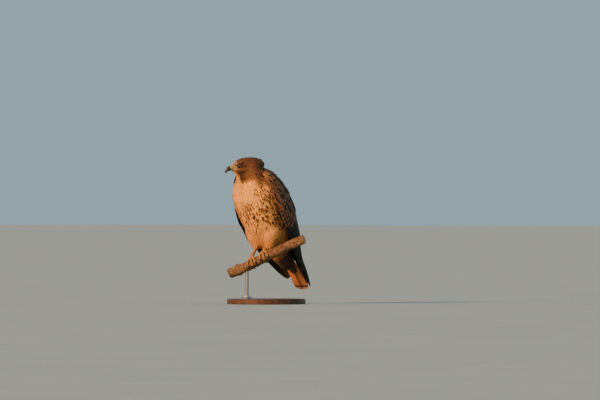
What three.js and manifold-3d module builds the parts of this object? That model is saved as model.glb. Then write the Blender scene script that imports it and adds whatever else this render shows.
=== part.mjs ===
// A red-tailed hawk at life size, perched on a short cut branch that a plain display stand holds.
// Millimetres, +Z up. The origin is the centre of the stand's underside.
// The bird faces -Y and its left side is +X.
import * as THREE from 'three';
import { mergeVertices } from 'three/addons/utils/BufferGeometryUtils.js';
import Module from 'manifold-3d';

const wasm = await Module();
wasm.setup();

// Driving dimensions
const GAP = 0.35; // clear space between neighbouring solids
const VANE = 0.6; // thickness of a flight feather
const COVERT = 0.7; // thickness of a covert

const BASE_RADIUS = 130;
const BASE_HEIGHT = 18;
const ROD_RADIUS = 6;
const ROD_ALONG = -52; // where the rod meets the perch, along its axis from the grip
const GRIP = new THREE.Vector3(0, -30, 146); // on the perch's axis, midway between the feet

const PERCH_RADIUS = 16;
const PERCH_TURN = THREE.MathUtils.degToRad(20); // from the bird's own left towards its back
const PERCH_SLOPE = THREE.MathUtils.degToRad(22.5); // rising to the bird's left
const PERCH_ENDS = [-118, 172]; // along the axis, from the grip
const FOOT_SPACING = 48; // along the perch's axis

const HEAD_YAW = THREE.MathUtils.degToRad(-30); // turned to the bird's right
const HEAD_PITCH = THREE.MathUtils.degToRad(6); // bill down
const HEAD_AT = [-6, -73, 303];

const TAIL_ROOT = [0, 74, 82];
const TAIL_LENGTH = 230;
const TAIL_SLOPE = THREE.MathUtils.degToRad(39); // from straight down, towards the back

// Finishes
const paint = (color, roughness) => new THREE.MeshStandardMaterial({ color, roughness, metalness: 0 });
const finish = {
  breast: paint('#d9b483', 0.9),
  head: paint('#7a4c2c', 0.9),
  wing: paint('#3d2c20', 0.85),
  tail: paint('#b5622c', 0.8),
  leg: paint('#cfa36c', 0.9),
  foot: paint('#d6a63c', 0.6),
  horn: paint('#1d1a19', 0.35),
  cere: paint('#c9b04a', 0.5),
  eye: paint('#2a150b', 0.08),
  bark: paint('#7d6248', 0.95),
  wood: paint('#3a2a20', 0.5),
  steel: paint('#8c8f92', 0.4),
};

// Small helpers
const vec = (x, y, z) => new THREE.Vector3(x, y, z);
const fromGrip = ([x, y, z]) => vec(x, y, z).add(GRIP);
const mix = THREE.MathUtils.lerp;
const SIDEWAYS = vec(1, 0, 0);

function manifold(geometry) {
  const bare = new THREE.BufferGeometry();
  bare.setAttribute('position', geometry.getAttribute('position'));
  bare.setIndex(geometry.index);
  const merged = mergeVertices(bare, 1e-4);
  const triangles = new Uint32Array(merged.index.array);
  const build = () =>
    new wasm.Manifold(
      new wasm.Mesh({ numProp: 3, vertProperties: merged.attributes.position.array, triVerts: triangles }),
    );
  const made = build();
  if (made.volume() > 0) return made;
  for (let i = 0; i < triangles.length; i += 3) {
    [triangles[i], triangles[i + 1]] = [triangles[i + 1], triangles[i]];
  }
  return build();
}

const union = (solids) => solids.reduce((all, one) => all.add(one));

function largest(solid) {
  return solid.decompose().reduce((best, piece) => (piece.volume() > best.volume() ? piece : best));
}

function node(name, solid, material) {
  const made = largest(solid).getMesh();
  const geometry = new THREE.BufferGeometry();
  geometry.setAttribute('position', new THREE.BufferAttribute(new Float32Array(made.vertProperties), 3));
  geometry.setIndex(new THREE.BufferAttribute(new Uint32Array(made.triVerts), 1));
  geometry.computeVertexNormals();
  const mesh = new THREE.Mesh(geometry, material);
  mesh.name = name;
  return mesh;
}

// A closed rounded form along a line. Each station has a place on the line, and how far the section
// reaches sideways, to its front and to its back. Blunt is the share of the length that rounds each end.
function swept({ stations, around = 16, along = 16, side = SIDEWAYS, blunt = 0.1, grow = 0, frame = null }) {
  const line = new THREE.CatmullRomCurve3(stations.map((s) => vec(...s.at)));
  const reach = new THREE.CatmullRomCurve3(stations.map((s) => vec(...s.reach)));
  const geometry = new THREE.SphereGeometry(1, around, along);
  const { position, uv } = geometry.attributes;
  for (let i = 0; i < position.count; i += 1) {
    const t = (1 - Math.cos(Math.PI * (1 - uv.getY(i)))) / 2;
    const turn = 2 * Math.PI * uv.getX(i);
    const nearEnd = Math.min(1, t / blunt, (1 - t) / blunt);
    const round = Math.sqrt(Math.max(0, 1 - (1 - nearEnd) ** 2));
    const along1 = line.getTangent(t);
    const across = side.clone().addScaledVector(along1, -side.dot(along1)).normalize();
    const back = across.clone().cross(along1);
    const size = reach.getPoint(t);
    const toBack = Math.cos(turn) > 0 ? size.z : size.y;
    const place = line
      .getPoint(t)
      .addScaledVector(across, Math.sin(turn) * round * (size.x + grow))
      .addScaledVector(back, Math.cos(turn) * round * (toBack + grow))
      .addScaledVector(along1, (t < 0.5 ? -grow : grow) * (nearEnd < 1 ? 1 - nearEnd : 0));
    if (frame) place.applyMatrix4(frame);
    position.setXYZ(i, place.x, place.y, place.z);
  }
  return manifold(geometry);
}

// A thin closed plate, with the same triangles on both faces and walls round the edge.
// Place takes the share across, the share along and the face, 1 or -1.
function plate(columns, rows, place) {
  const grid = new THREE.PlaneGeometry(1, 1, columns, rows);
  const { uv } = grid.attributes;
  const count = uv.count;
  const points = [];
  for (const face of [1, -1]) {
    for (let i = 0; i < count; i += 1) points.push(...place(uv.getX(i), 1 - uv.getY(i), face).toArray());
  }
  const top = Array.from(grid.index.array);
  const index = [...top];
  for (let i = 0; i < top.length; i += 3) index.push(top[i] + count, top[i + 2] + count, top[i + 1] + count);
  const wide = columns + 1;
  const rim = [];
  for (let r = 0; r < rows; r += 1) rim.push(r * wide);
  for (let c = 0; c < columns; c += 1) rim.push(rows * wide + c);
  for (let r = rows; r > 0; r -= 1) rim.push(r * wide + columns);
  for (let c = columns; c > 0; c -= 1) rim.push(c);
  rim.forEach((a, i) => {
    const b = rim[(i + 1) % rim.length];
    index.push(b, a, a + count, b, a + count, b + count);
  });
  const geometry = new THREE.BufferGeometry();
  geometry.setAttribute('position', new THREE.Float32BufferAttribute(points, 3));
  geometry.setIndex(index);
  return manifold(geometry);
}

// How wide a feather is along its length, as a share of its full width. Tip is its width at the very end.
function featherWidth(s, tip = 0.25, shoulder = 0.68) {
  const base = Math.min(1, 0.5 + 1.3 * s);
  const past = Math.max(0, (s - shoulder) / (1 - shoulder));
  return base * mix(tip, 1, Math.sqrt(Math.max(0, 1 - past * past)));
}

// Rows of a vane stand closer together towards its rounded tip.
const towardsTip = (share) => 1 - (1 - share) ** 1.7;

// A flat tapered vane along a path. The path gives a centre, the way across and the way out.
function vane({ path, width, thickness = VANE, rows = 5, tip, shoulder, tilt = 0 }) {
  return plate(1, rows, (u, v, face) => {
    const s = towardsTip(v);
    const { at, across, out } = path(s);
    const wide = (u - 0.5) * width * featherWidth(s, tip, shoulder);
    const lift = (face * thickness) / 2 + tilt * wide;
    return at.clone().addScaledVector(across, wide).addScaledVector(out, lift);
  });
}

// Torso: breast, belly, back and the coverts round the root of the tail
const TORSO = [
  { at: [0, -50, 292], reach: [34, 34, 24] },
  { at: [0, -38, 270], reach: [64, 62, 44] },
  { at: [0, -18, 234], reach: [84, 80, 61] },
  { at: [0, 4, 192], reach: [88, 82, 72] },
  { at: [0, 26, 148], reach: [84, 78, 72] },
  { at: [0, 46, 106], reach: [76, 67, 66] },
  { at: [0, 68, 68], reach: [60, 52, 50] },
  { at: [0, 92, 32], reach: [42, 36, 30] },
  { at: [0, 116, 0], reach: [29, 23, 15] },
  { at: [0, 137, -28], reach: [18, 12, 8] },
].map(({ at, reach }) => ({ at: fromGrip(at).toArray(), reach }));

const torsoForm = (grow = 0) => swept({ stations: TORSO, around: 20, along: 16, blunt: 0.06, grow });

// Neck, between the shoulders and the head
const NECK = [
  { at: [0, -26, 246], reach: [60, 60, 44] },
  { at: [0, -42, 270], reach: [55, 53, 46] },
  { at: [-3, -54, 288], reach: [46, 45, 44] },
  { at: [-8, -63, 304], reach: [34, 33, 34] },
].map(({ at, reach }) => ({ at: fromGrip(at).toArray(), reach }));

const neckForm = (grow = 0) => swept({ stations: NECK, around: 20, along: 10, blunt: 0.2, grow });

// Head, in its own frame: -Y is forward, +X is the bird's left, and the origin is inside the skull
const headFrame = new THREE.Matrix4()
  .makeTranslation(fromGrip(HEAD_AT))
  .multiply(new THREE.Matrix4().makeRotationZ(HEAD_YAW))
  .multiply(new THREE.Matrix4().makeRotationX(HEAD_PITCH));

const EYE_RADIUS = 9.2;
const EYE_AT = { side: 18.6, forward: 17.5, up: 8.5 };
const EYE_LOOK = { side: 0.84, forward: 0.54 };

const HEAD = [
  { at: [0, -42, 5], reach: [9, 8, 9] },
  { at: [0, -36, 4], reach: [13.5, 13, 14] },
  { at: [0, -27, 3], reach: [20.5, 20, 24] },
  { at: [0, -13, 1], reach: [27.5, 27, 31.5] },
  { at: [0, 4, 0], reach: [31.5, 30, 34.5] },
  { at: [0, 22, -1], reach: [33.5, 32, 34.5] },
  { at: [0, 40, -3], reach: [32, 32, 34] },
  { at: [0, 51, -8], reach: [26, 27, 30] },
  { at: [0, 59, -14], reach: [14, 15, 17] },
];

const headForm = (grow = 0) =>
  swept({ stations: HEAD, around: 18, along: 14, blunt: 0.05, grow, frame: headFrame });

const inHead = (x, y, z) => vec(x, y, z).applyMatrix4(headFrame);

function eyeball(sign, grow = 0) {
  const globe = new THREE.SphereGeometry(EYE_RADIUS + grow, 12, 9);
  const at = inHead(sign * EYE_AT.side, -EYE_AT.forward, EYE_AT.up);
  globe.translate(at.x, at.y, at.z);
  return manifold(globe);
}

// The ring of lids that the eye looks through
function lids(sign) {
  const ring = new THREE.TorusGeometry(7.9, 1.7, 4, 11);
  const look = vec(sign * EYE_LOOK.side, -EYE_LOOK.forward, 0).normalize();
  const turn = new THREE.Quaternion().setFromUnitVectors(vec(0, 0, 1), look);
  const depth = 5.2;
  ring.applyQuaternion(turn);
  ring.translate(
    sign * EYE_AT.side + look.x * depth,
    -EYE_AT.forward + look.y * depth,
    EYE_AT.up + look.z * depth,
  );
  ring.applyMatrix4(headFrame);
  return manifold(ring);
}

// The bony ridge that overhangs each eye
function brow(sign) {
  const stations = [
    { at: [sign * 14, -33, 14], reach: [2.4, 2.4, 2.4] },
    { at: [sign * 20, -26, 17], reach: [3.6, 3, 3] },
    { at: [sign * 24.5, -16, 18.4], reach: [3.8, 3, 3] },
    { at: [sign * 26.5, -3, 18], reach: [3, 3, 3] },
  ];
  return swept({ stations, around: 7, along: 7, blunt: 0.2, frame: headFrame });
}

// The line of the mouth, from the corner of the bill to below the eye
function gape(sign) {
  const stations = [
    { at: [sign * 10.5, -39, -0.5], reach: [0.9, 0.9, 0.9] },
    { at: [sign * 17, -32, -2.2], reach: [0.9, 0.9, 0.9] },
    { at: [sign * 22.6, -24, -4.6], reach: [0.8, 0.8, 0.8] },
    { at: [sign * 25, -19, -6.4], reach: [0.6, 0.6, 0.6] },
  ];
  return swept({ stations, around: 4, along: 5, side: vec(0, 0, 1), frame: headFrame });
}

const CERE = [
  { at: [0, -33, 7], reach: [9, 7, 7.6] },
  { at: [0, -38, 7], reach: [10.4, 8.8, 8] },
  { at: [0, -43, 6.4], reach: [10, 8.8, 7.6] },
  { at: [0, -47, 5.2], reach: [8.6, 8, 6.6] },
];

const UPPER_BILL = [
  { at: [0, -39, 6.2], reach: [8.6, 7.6, 7] },
  { at: [0, -46, 5.6], reach: [8.3, 7.8, 7] },
  { at: [0, -53, 3], reach: [6.6, 7.4, 6.2] },
  { at: [0, -58.4, -1.4], reach: [4.6, 5.8, 4.8] },
  { at: [0, -61.4, -6.6], reach: [2.8, 3.4, 3.3] },
  { at: [0, -62, -12.4], reach: [1, 1.1, 1.1] },
];

const LOWER_BILL = [
  { at: [0, -33, -2.2], reach: [8.4, 2, 5.4] },
  { at: [0, -41, -2.2], reach: [7.6, 2, 5] },
  { at: [0, -49.5, -2.6], reach: [5.6, 2, 4] },
  { at: [0, -55.5, -3.2], reach: [2.6, 1.2, 2.3] },
];

const billPart = (stations, grow = 0) =>
  swept({ stations, around: 10, along: 8, blunt: 0.06, grow, frame: headFrame });

function nostril(sign) {
  const stations = [
    { at: [sign * 9.2, -43.4, 8.4], reach: [1.8, 1.1, 1.1] },
    { at: [sign * 9.6, -41.4, 9.2], reach: [2, 1.5, 1.5] },
    { at: [sign * 9.8, -39.4, 9.4], reach: [1.8, 1.1, 1.1] },
  ];
  return swept({ stations, around: 6, along: 5, blunt: 0.4, frame: headFrame });
}

// Folded wings. A point of the wing's outer surface is given by its share of the way from the shoulder to
// the wing's tip, and by its angle from the middle of the back round to the side of the body.
const WING = [
  { at: [0, -44, 284], reach: [50, 0, 32] },
  { at: [0, -32, 264], reach: [70, 0, 48] },
  { at: [0, -14, 232], reach: [86, 0, 65] },
  { at: [0, 6, 192], reach: [97, 0, 79] },
  { at: [0, 28, 150], reach: [100, 0, 82] },
  { at: [0, 50, 108], reach: [94, 0, 79] },
  { at: [0, 74, 66], reach: [87, 0, 70] },
  { at: [0, 98, 28], reach: [78, 0, 56] },
  { at: [0, 128, -8], reach: [62, 0, 40] },
  { at: [0, 166, -48], reach: [48, 0, 24] },
  { at: [0, 206, -88], reach: [31, 0, 12] },
].map(({ at, reach }) => ({ at: fromGrip(at).toArray(), reach }));
const wingLine = new THREE.CatmullRomCurve3(WING.map((s) => vec(...s.at)));
const wingReach = new THREE.CatmullRomCurve3(WING.map((s) => vec(...s.reach)));

function wingSkin(sign, t, degrees) {
  const angle = THREE.MathUtils.degToRad(degrees);
  const along = wingLine.getTangent(t);
  const back = SIDEWAYS.clone().cross(along);
  const size = wingReach.getPoint(t);
  return wingLine
    .getPoint(t)
    .addScaledVector(SIDEWAYS, sign * Math.sin(angle) * size.x)
    .addScaledVector(back, Math.cos(angle) * size.z);
}

function wingOut(sign, t, degrees) {
  const step = 0.01;
  const low = Math.max(0, t - step);
  const high = Math.min(1, t + step);
  const along = wingSkin(sign, high, degrees).sub(wingSkin(sign, low, degrees));
  const round = wingSkin(sign, t, degrees + 1).sub(wingSkin(sign, t, degrees - 1));
  return round.cross(along).multiplyScalar(sign).normalize();
}

// How far the wing's flesh stands out from that surface: thick at the wrist, and gone at half way down
const CORE_END = 0.46;
const coreLift = (t) => 7 * Math.max(0, 1 - t / CORE_END);

function wingCore(sign) {
  const top = 0.035;
  return plate(6, 7, (u, v, face) => {
    const t = mix(top, CORE_END, v);
    const degrees = mix(mix(20, 7, Math.min(1, v * 2)), mix(84, 103, Math.min(1, v * 3)), u);
    const edge = Math.min(1, u * 6, (1 - u) * 6, v * 6);
    const inside = mix(-15, -3.5, Math.max(0, (v - 0.45) / 0.55));
    const lift = face > 0 ? coreLift(t) * edge - 2 * (1 - edge) : inside;
    return wingSkin(sign, t, degrees).addScaledVector(wingOut(sign, t, degrees), lift);
  });
}

// One feather of the wing, from its root to its tip, each given as [share of the way, degrees]
function wingFeather(sign, { root, tip, width, thickness, rows }) {
  const start = coreLift(root[0]) - ROOT_DEPTH;
  const finish = coreLift(tip[0]) + TIP_RISE * (tip[0] > LONG_TIP ? 0.5 : 1);
  const turn = (tip[1] - root[1]) / (tip[0] - root[0]);
  const path = (s) => {
    const t = mix(root[0], tip[0], s);
    const degrees = mix(root[1], tip[1], s);
    const out = wingOut(sign, t, degrees);
    const at = wingSkin(sign, t, degrees).addScaledVector(out, mix(start, finish, s));
    const step = 0.02;
    const ahead = wingSkin(sign, Math.min(1, t + step), degrees + turn * step);
    const behind = wingSkin(sign, t - step, degrees - turn * step);
    const across = ahead.sub(behind).cross(out).multiplyScalar(-sign).normalize();
    return { at, across, out };
  };
  return vane({ path, width, tilt: SHINGLE, thickness, rows });
}

// The tiers of a folded wing, from the primaries up to the lesser coverts. Each has the places of its first
// and last feather's root and tip.
const TIERS = [
  {
    count: 6,
    root: [[0.43, 34], [0.43, 95]],
    tip: [[0.82, 16], [1, 83]],
    width: 28,
    thickness: VANE,
    arch: 0.1,
  },
  {
    count: 8,
    root: [[0.34, 8], [0.34, 99]],
    tip: [[0.76, 9], [0.62, 95]],
    width: 27,
    thickness: VANE,
    arch: 0,
  },
  {
    count: 7,
    root: [[0.22, 8], [0.22, 100]],
    tip: [[0.54, 7], [0.46, 101]],
    width: 29,
    thickness: COVERT,
    arch: 0,
  },
  {
    count: 6,
    root: [[0.12, 12], [0.12, 98]],
    tip: [[0.38, 9], [0.33, 102]],
    width: 31,
    thickness: COVERT,
    arch: 0,
  },
  {
    count: 5,
    root: [[0.05, 19], [0.05, 92]],
    tip: [[0.25, 12], [0.21, 96]],
    width: 31,
    thickness: COVERT,
    arch: 0,
  },
];
const SHINGLE = 0.06; // how far each vane leans over the next, as a slope
const ROOT_DEPTH = 2.2; // of a root below the flesh
const TIP_RISE = 5.4; // of a tip above the flesh
const LONG_TIP = 0.8; // only the tips of the primaries lie past this share of the way
const WING_REACH = { 1: 1, '-1': 0.94 }; // the right wing's tip is tucked further up

function wing(sign) {
  const feathers = TIERS.flatMap(({ count, root, tip, width, thickness, arch }) =>
    Array.from({ length: count }, (_, i) => {
      const share = i / (count - 1);
      const spread = ([a, b]) => [mix(a[0], b[0], share), mix(a[1], b[1], share)];
      const end = spread(tip);
      const longest = 4 * arch * share * (1 - share);
      const reach = end[0] > LONG_TIP ? WING_REACH[sign] : 1;
      return wingFeather(sign, {
        root: spread(root),
        tip: [Math.min(1, end[0] + longest) * reach, end[1]],
        width: width * (1 + 0.05 * Math.sin(5.1 * i + count)),
        thickness,
        rows: tip[1][0] > 0.5 ? 5 : 3,
      });
    }),
  );
  return union([wingCore(sign), ...feathers]);
}

// Tail: twelve feathers in a closed fan, the middle pair on top
const tailAlong = vec(0, Math.sin(TAIL_SLOPE), -Math.cos(TAIL_SLOPE));
const tailUp = vec(0, Math.cos(TAIL_SLOPE), Math.sin(TAIL_SLOPE));
const TAIL_PAIRS = 6;
const TAIL_VANE = 0.5;
const TAIL_STEP = TAIL_VANE + 0.33; // from one feather of the stack to the next
const TAIL_WIDTH = 27; // of one feather
const TAIL_SPREAD = 1.3; // between neighbouring roots
const TAIL_FAN = THREE.MathUtils.degToRad(0.5); // between neighbouring feathers

function tailFeather(pair, sign) {
  const level = (2 * pair + (sign < 0 ? 1 : 0)) * TAIL_STEP;
  const turn = -sign * TAIL_FAN * (pair + 0.5);
  const way = tailAlong.clone().applyAxisAngle(tailUp, turn);
  const across = way.clone().cross(tailUp).multiplyScalar(-1);
  const length = TAIL_LENGTH - 0.25 * pair * pair;
  const root = fromGrip(TAIL_ROOT)
    .addScaledVector(SIDEWAYS, sign * TAIL_SPREAD * (pair + 0.5))
    .addScaledVector(tailUp, 5 - level);
  const first = 0.25;
  const path = (s) => ({
    at: root.clone().addScaledVector(way, length * mix(first, 1, s)).addScaledVector(tailUp, -5 * s * s),
    across,
    out: tailUp,
  });
  return vane({ path, width: TAIL_WIDTH, thickness: TAIL_VANE, tip: 0.6, shoulder: 0.9, rows: 5 });
}

// The coverts round the root of the tail
const TAIL_COVERTS = [
  { share: 0.2, reach: [24, 9, 10] },
  { share: 0.34, reach: [27, 9, 10] },
  { share: 0.46, reach: [26, 7.5, 9] },
  { share: 0.58, reach: [19, 6, 6] },
];

function tailCore() {
  const root = fromGrip(TAIL_ROOT);
  const stations = TAIL_COVERTS.map(({ share, reach }) => ({
    at: root.clone().addScaledVector(tailAlong, TAIL_LENGTH * share).toArray(),
    reach,
  }));
  return swept({ stations, around: 16, along: 8, blunt: 0.14 });
}

function tail() {
  const feathers = [];
  for (let pair = 0; pair < TAIL_PAIRS; pair += 1) {
    for (const sign of [1, -1]) feathers.push(tailFeather(pair, sign));
  }
  return union([tailCore(), ...feathers]);
}

// Perch: a cut length of branch, a little crooked, with a collar where a twig once grew
const perchAlong = vec(
  Math.cos(PERCH_TURN) * Math.cos(PERCH_SLOPE),
  Math.sin(PERCH_TURN) * Math.cos(PERCH_SLOPE),
  Math.sin(PERCH_SLOPE),
);
const perchFront = perchAlong.clone().cross(vec(0, 0, 1)).normalize();
const perchUp = perchFront.clone().cross(perchAlong);
const COLLAR_AT = -84;

function perchAxis(along) {
  return GRIP.clone()
    .addScaledVector(perchAlong, along)
    .addScaledVector(perchUp, 2.2 * Math.sin(along / 46) + 0.00018 * along * along)
    .addScaledVector(perchFront, 2 * Math.sin(along / 61));
}

function perchGirth(along, turn) {
  const collar = 3.2 * Math.exp(-(((along - COLLAR_AT) / 8) ** 2));
  const taper = -0.006 * along;
  const burl = 0.5 * Math.sin(2 * turn + along / 19) + 0.35 * Math.sin(3 * turn - along / 11);
  return PERCH_RADIUS + collar + taper + burl;
}

function perchForm(grow = 0) {
  const shape = new THREE.CylinderGeometry(1, 1, 1, 14, 16);
  const { position } = shape.attributes;
  for (let i = 0; i < position.count; i += 1) {
    const along = mix(PERCH_ENDS[0] - grow, PERCH_ENDS[1] + grow, position.getY(i) + 0.5);
    const turn = Math.atan2(position.getX(i), position.getZ(i));
    const girth = Math.hypot(position.getX(i), position.getZ(i)) * (perchGirth(along, turn) + grow);
    const place = perchAxis(along)
      .addScaledVector(perchUp, Math.cos(turn) * girth)
      .addScaledVector(perchFront, Math.sin(turn) * girth);
    position.setXYZ(i, place.x, place.y, place.z);
  }
  return manifold(shape);
}

// Feet. A point on the perch is given by its place along the axis, its angle from the top towards the
// front, and its distance from the axis.
function roundPerch(along, degrees, distance) {
  const angle = THREE.MathUtils.degToRad(degrees);
  return perchAxis(along)
    .addScaledVector(perchUp, Math.cos(angle) * distance)
    .addScaledVector(perchFront, Math.sin(angle) * distance);
}

// Each toe has how far it spreads along the perch, how far round it its last joint is, and its claw
const TOES = {
  inner: { spread: 14, from: 2, to: 98, girth: 5, claw: 60 },
  middle: { spread: 0, from: 2, to: 122, girth: 5, claw: 56 },
  outer: { spread: -15, from: 2, to: 104, girth: 4.5, claw: 52 },
  hind: { spread: 3, from: -2, to: -88, girth: 5.2, claw: -66 },
};
const TOE_JOINTS = 3;
const TOE_STEPS = 7;
const CLAW_STEPS = 6;
const CLAW_GIRTH = [3.7, 0.7]; // at its root and its tip
const CLAW_RISE = [5.2, 2.6]; // of its axis above the perch, at its root and its tip
const CLAW_ARCH = 3.4;

// The inner toe points to the other foot, so the spread turns over from one foot to the other
const footAt = (sign) => (sign * FOOT_SPACING) / 2;
const toeSpread = (sign, toe, s) => footAt(sign) - sign * toe.spread * Math.min(1, 0.15 + 1.3 * s);

function toe(sign, name, grow = 0) {
  const it = TOES[name];
  const stations = Array.from({ length: TOE_STEPS }, (_, i) => {
    const s = i / (TOE_STEPS - 1);
    const pad = 1 + 0.13 * Math.cos(2 * Math.PI * TOE_JOINTS * s);
    const girth = it.girth * mix(1.05, 0.78, s);
    const distance = PERCH_RADIUS + girth * mix(1.1, 0.8, Math.min(1, s * 3));
    return {
      at: roundPerch(toeSpread(sign, it, s), mix(it.from, it.to, s), distance).toArray(),
      reach: [girth * 0.95 * pad, girth * pad, girth * pad],
    };
  });
  return swept({ stations, around: 6, along: 7, side: perchAlong, blunt: 0.1, grow });
}

function claw(sign, name) {
  const it = TOES[name];
  const turnAt = (s) => mix(it.to - Math.sign(it.to) * 6, it.to + it.claw, s);
  const stations = Array.from({ length: CLAW_STEPS }, (_, i) => {
    const s = i / (CLAW_STEPS - 1);
    const girth = mix(...CLAW_GIRTH, s ** 0.85) * (it.girth / TOES.inner.girth);
    const distance = PERCH_RADIUS + mix(...CLAW_RISE, s) + CLAW_ARCH * Math.sin(Math.PI * s);
    return {
      at: roundPerch(toeSpread(sign, it, 1), turnAt(s), distance).toArray(),
      reach: [girth * 0.72, girth, girth],
    };
  });
  return swept({ stations, around: 6, along: 7, side: perchAlong, blunt: 0.12 });
}

// The shank, from under the feathers of the leg down to the top of the perch
const ANKLE = { side: 27, back: 24, up: 58 };

function shankStations(sign) {
  const foot = roundPerch(footAt(sign), 0, PERCH_RADIUS + 5.5);
  const top = fromGrip([sign * ANKLE.side, ANKLE.back, ANKLE.up + 8]);
  const knee = foot.clone().lerp(top, 0.5).add(vec(0, 2, 0));
  return [
    { at: top.toArray(), reach: [6.2, 6, 6] },
    { at: knee.toArray(), reach: [5.2, 5, 5] },
    { at: foot.clone().lerp(top, 0.16).toArray(), reach: [6.2, 6, 5.6] },
    { at: foot.toArray(), reach: [8.6, 6.6, 6.6] },
  ];
}

const shank = (sign) => swept({ stations: shankStations(sign), around: 10, along: 8, blunt: 0.14 });
const foot = (sign) => union([shank(sign), ...Object.keys(TOES).map((name) => toe(sign, name))]);

// The feathered leg
function legStations(sign) {
  return [
    { at: fromGrip([sign * 42, 30, 140]).toArray(), reach: [32, 36, 34] },
    { at: fromGrip([sign * 41, 22, 108]).toArray(), reach: [32, 36, 36] },
    { at: fromGrip([sign * 37, 17, 78]).toArray(), reach: [26, 29, 32] },
    { at: fromGrip([sign * 31, 17, 54]).toArray(), reach: [18, 19, 22] },
    { at: fromGrip([sign * 27, 15, 35]).toArray(), reach: [10, 11, 12] },
  ];
}

const legForm = (sign, grow = 0) =>
  swept({ stations: legStations(sign), around: 16, along: 12, blunt: 0.1, grow });

// Stand
function standBase() {
  const edge = 3;
  const profile = [
    [0, 0],
    [BASE_RADIUS - 1, 0],
    [BASE_RADIUS, 1],
    [BASE_RADIUS, BASE_HEIGHT - edge],
    [BASE_RADIUS - edge * 0.3, BASE_HEIGHT - edge * 0.3],
    [BASE_RADIUS - edge, BASE_HEIGHT],
    [0, BASE_HEIGHT],
  ].map(([r, h]) => new THREE.Vector2(r, h));
  return manifold(new THREE.LatheGeometry(profile, 36).rotateX(Math.PI / 2));
}

const rodTop = perchAxis(ROD_ALONG);

function standRod() {
  const height = rodTop.z - BASE_HEIGHT - GAP;
  const rod = new THREE.CylinderGeometry(ROD_RADIUS, ROD_RADIUS, height, 20).rotateX(Math.PI / 2);
  return manifold(rod.translate(rodTop.x, rodTop.y, BASE_HEIGHT + GAP + height / 2));
}

function standCollar() {
  const inside = ROD_RADIUS + GAP;
  const profile = [
    [inside, 0],
    [17, 0],
    [17, 3],
    [15.5, 4.5],
    [inside + 3, 5.5],
    [inside + 2, 9],
    [inside, 9],
    [inside, 0],
  ].map(([r, h]) => new THREE.Vector2(r, h));
  const ring = new THREE.LatheGeometry(profile, 14).rotateX(Math.PI / 2);
  return manifold(ring.translate(rodTop.x, rodTop.y, BASE_HEIGHT + GAP));
}

// Assembly
const hawk = new THREE.Group();
const put = (name, solid, material) => hawk.add(node(name, solid, material));

const flesh = union([torsoForm(), neckForm(), headForm(), brow(1), brow(-1), lids(1), lids(-1)]);

// Two planes part the head from the neck, and the neck from the torso
function plane(point, normal) {
  const way = vec(...normal).normalize();
  return { way, offset: fromGrip(point).dot(way) };
}
const headCut = plane([-3, -55, 272], [-0.26, -0.46, 0.85]);
const neckCut = plane([0, -36, 246], [0, -0.42, 0.9]);
const above = (solid, { way, offset }) => solid.trimByPlane(way.toArray(), offset + GAP / 2);
const below = (solid, { way, offset }) =>
  solid.trimByPlane(way.clone().negate().toArray(), -offset + GAP / 2);

const torsoClear = torsoForm(GAP);
const bodyClear = union([torsoClear, neckForm(GAP), headForm(GAP)]);
const cereClear = billPart(CERE, GAP * 1.6);
const upperClear = billPart(UPPER_BILL, GAP);
const perchClear = perchForm(GAP);

const sides = { left: 1, right: -1 };
const headSolid = [1, -1].reduce(
  (solid, sign) => solid.subtract(eyeball(sign, GAP)).subtract(gape(sign)),
  above(flesh, headCut).subtract(cereClear).subtract(billPart(LOWER_BILL, GAP)),
);
put('head', headSolid, finish.head);
put('neck', below(above(flesh, neckCut), headCut), finish.head);

const torso = below(flesh, neckCut);
const cere = billPart(CERE).subtract(upperClear);
put('cere', cere.subtract(nostril(1)).subtract(nostril(-1)), finish.cere);
put('upper_bill', billPart(UPPER_BILL), finish.horn);
put('lower_bill', billPart(LOWER_BILL).subtract(upperClear).subtract(cereClear), finish.horn);
put('torso', torso, finish.breast);

const tailSolid = largest(tail().subtract(torsoClear));
put('tail', tailSolid, finish.tail);
for (const [name, sign] of Object.entries(sides)) {
  put(`eye_${name}`, eyeball(sign), finish.eye);
  const ownHalf = wing(sign).trimByPlane([sign, 0, 0], GAP / 2);
  put(`wing_${name}`, ownHalf.subtract(bodyClear), finish.wing);
  const leg = legForm(sign).subtract(torsoClear).subtract(legForm(-sign, GAP));
  put(`leg_${name}`, leg, finish.leg);
  const footSolid = foot(sign).subtract(perchClear).subtract(legForm(sign, GAP)).subtract(torsoClear);
  put(`foot_${name}`, footSolid, finish.foot);
  for (const toeName of Object.keys(TOES)) {
    const clawSolid = claw(sign, toeName).subtract(perchClear).subtract(toe(sign, toeName, GAP));
    put(`claw_${toeName}_${name}`, clawSolid, finish.horn);
  }
}

put('perch', perchForm(), finish.bark);
put('stand_rod', standRod().subtract(perchClear), finish.steel);
put('stand_collar', standCollar(), finish.steel);
put('stand_base', standBase(), finish.wood);

export default hawk;
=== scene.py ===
# A red-tailed hawk on a cut branch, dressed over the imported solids. Metres, +Z up, the bird faces -Y.
import math
from collections import namedtuple

import bmesh
import bpy
import numpy as np
from mathutils import Matrix, Vector, noise
from mathutils.bvhtree import BVHTree


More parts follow.
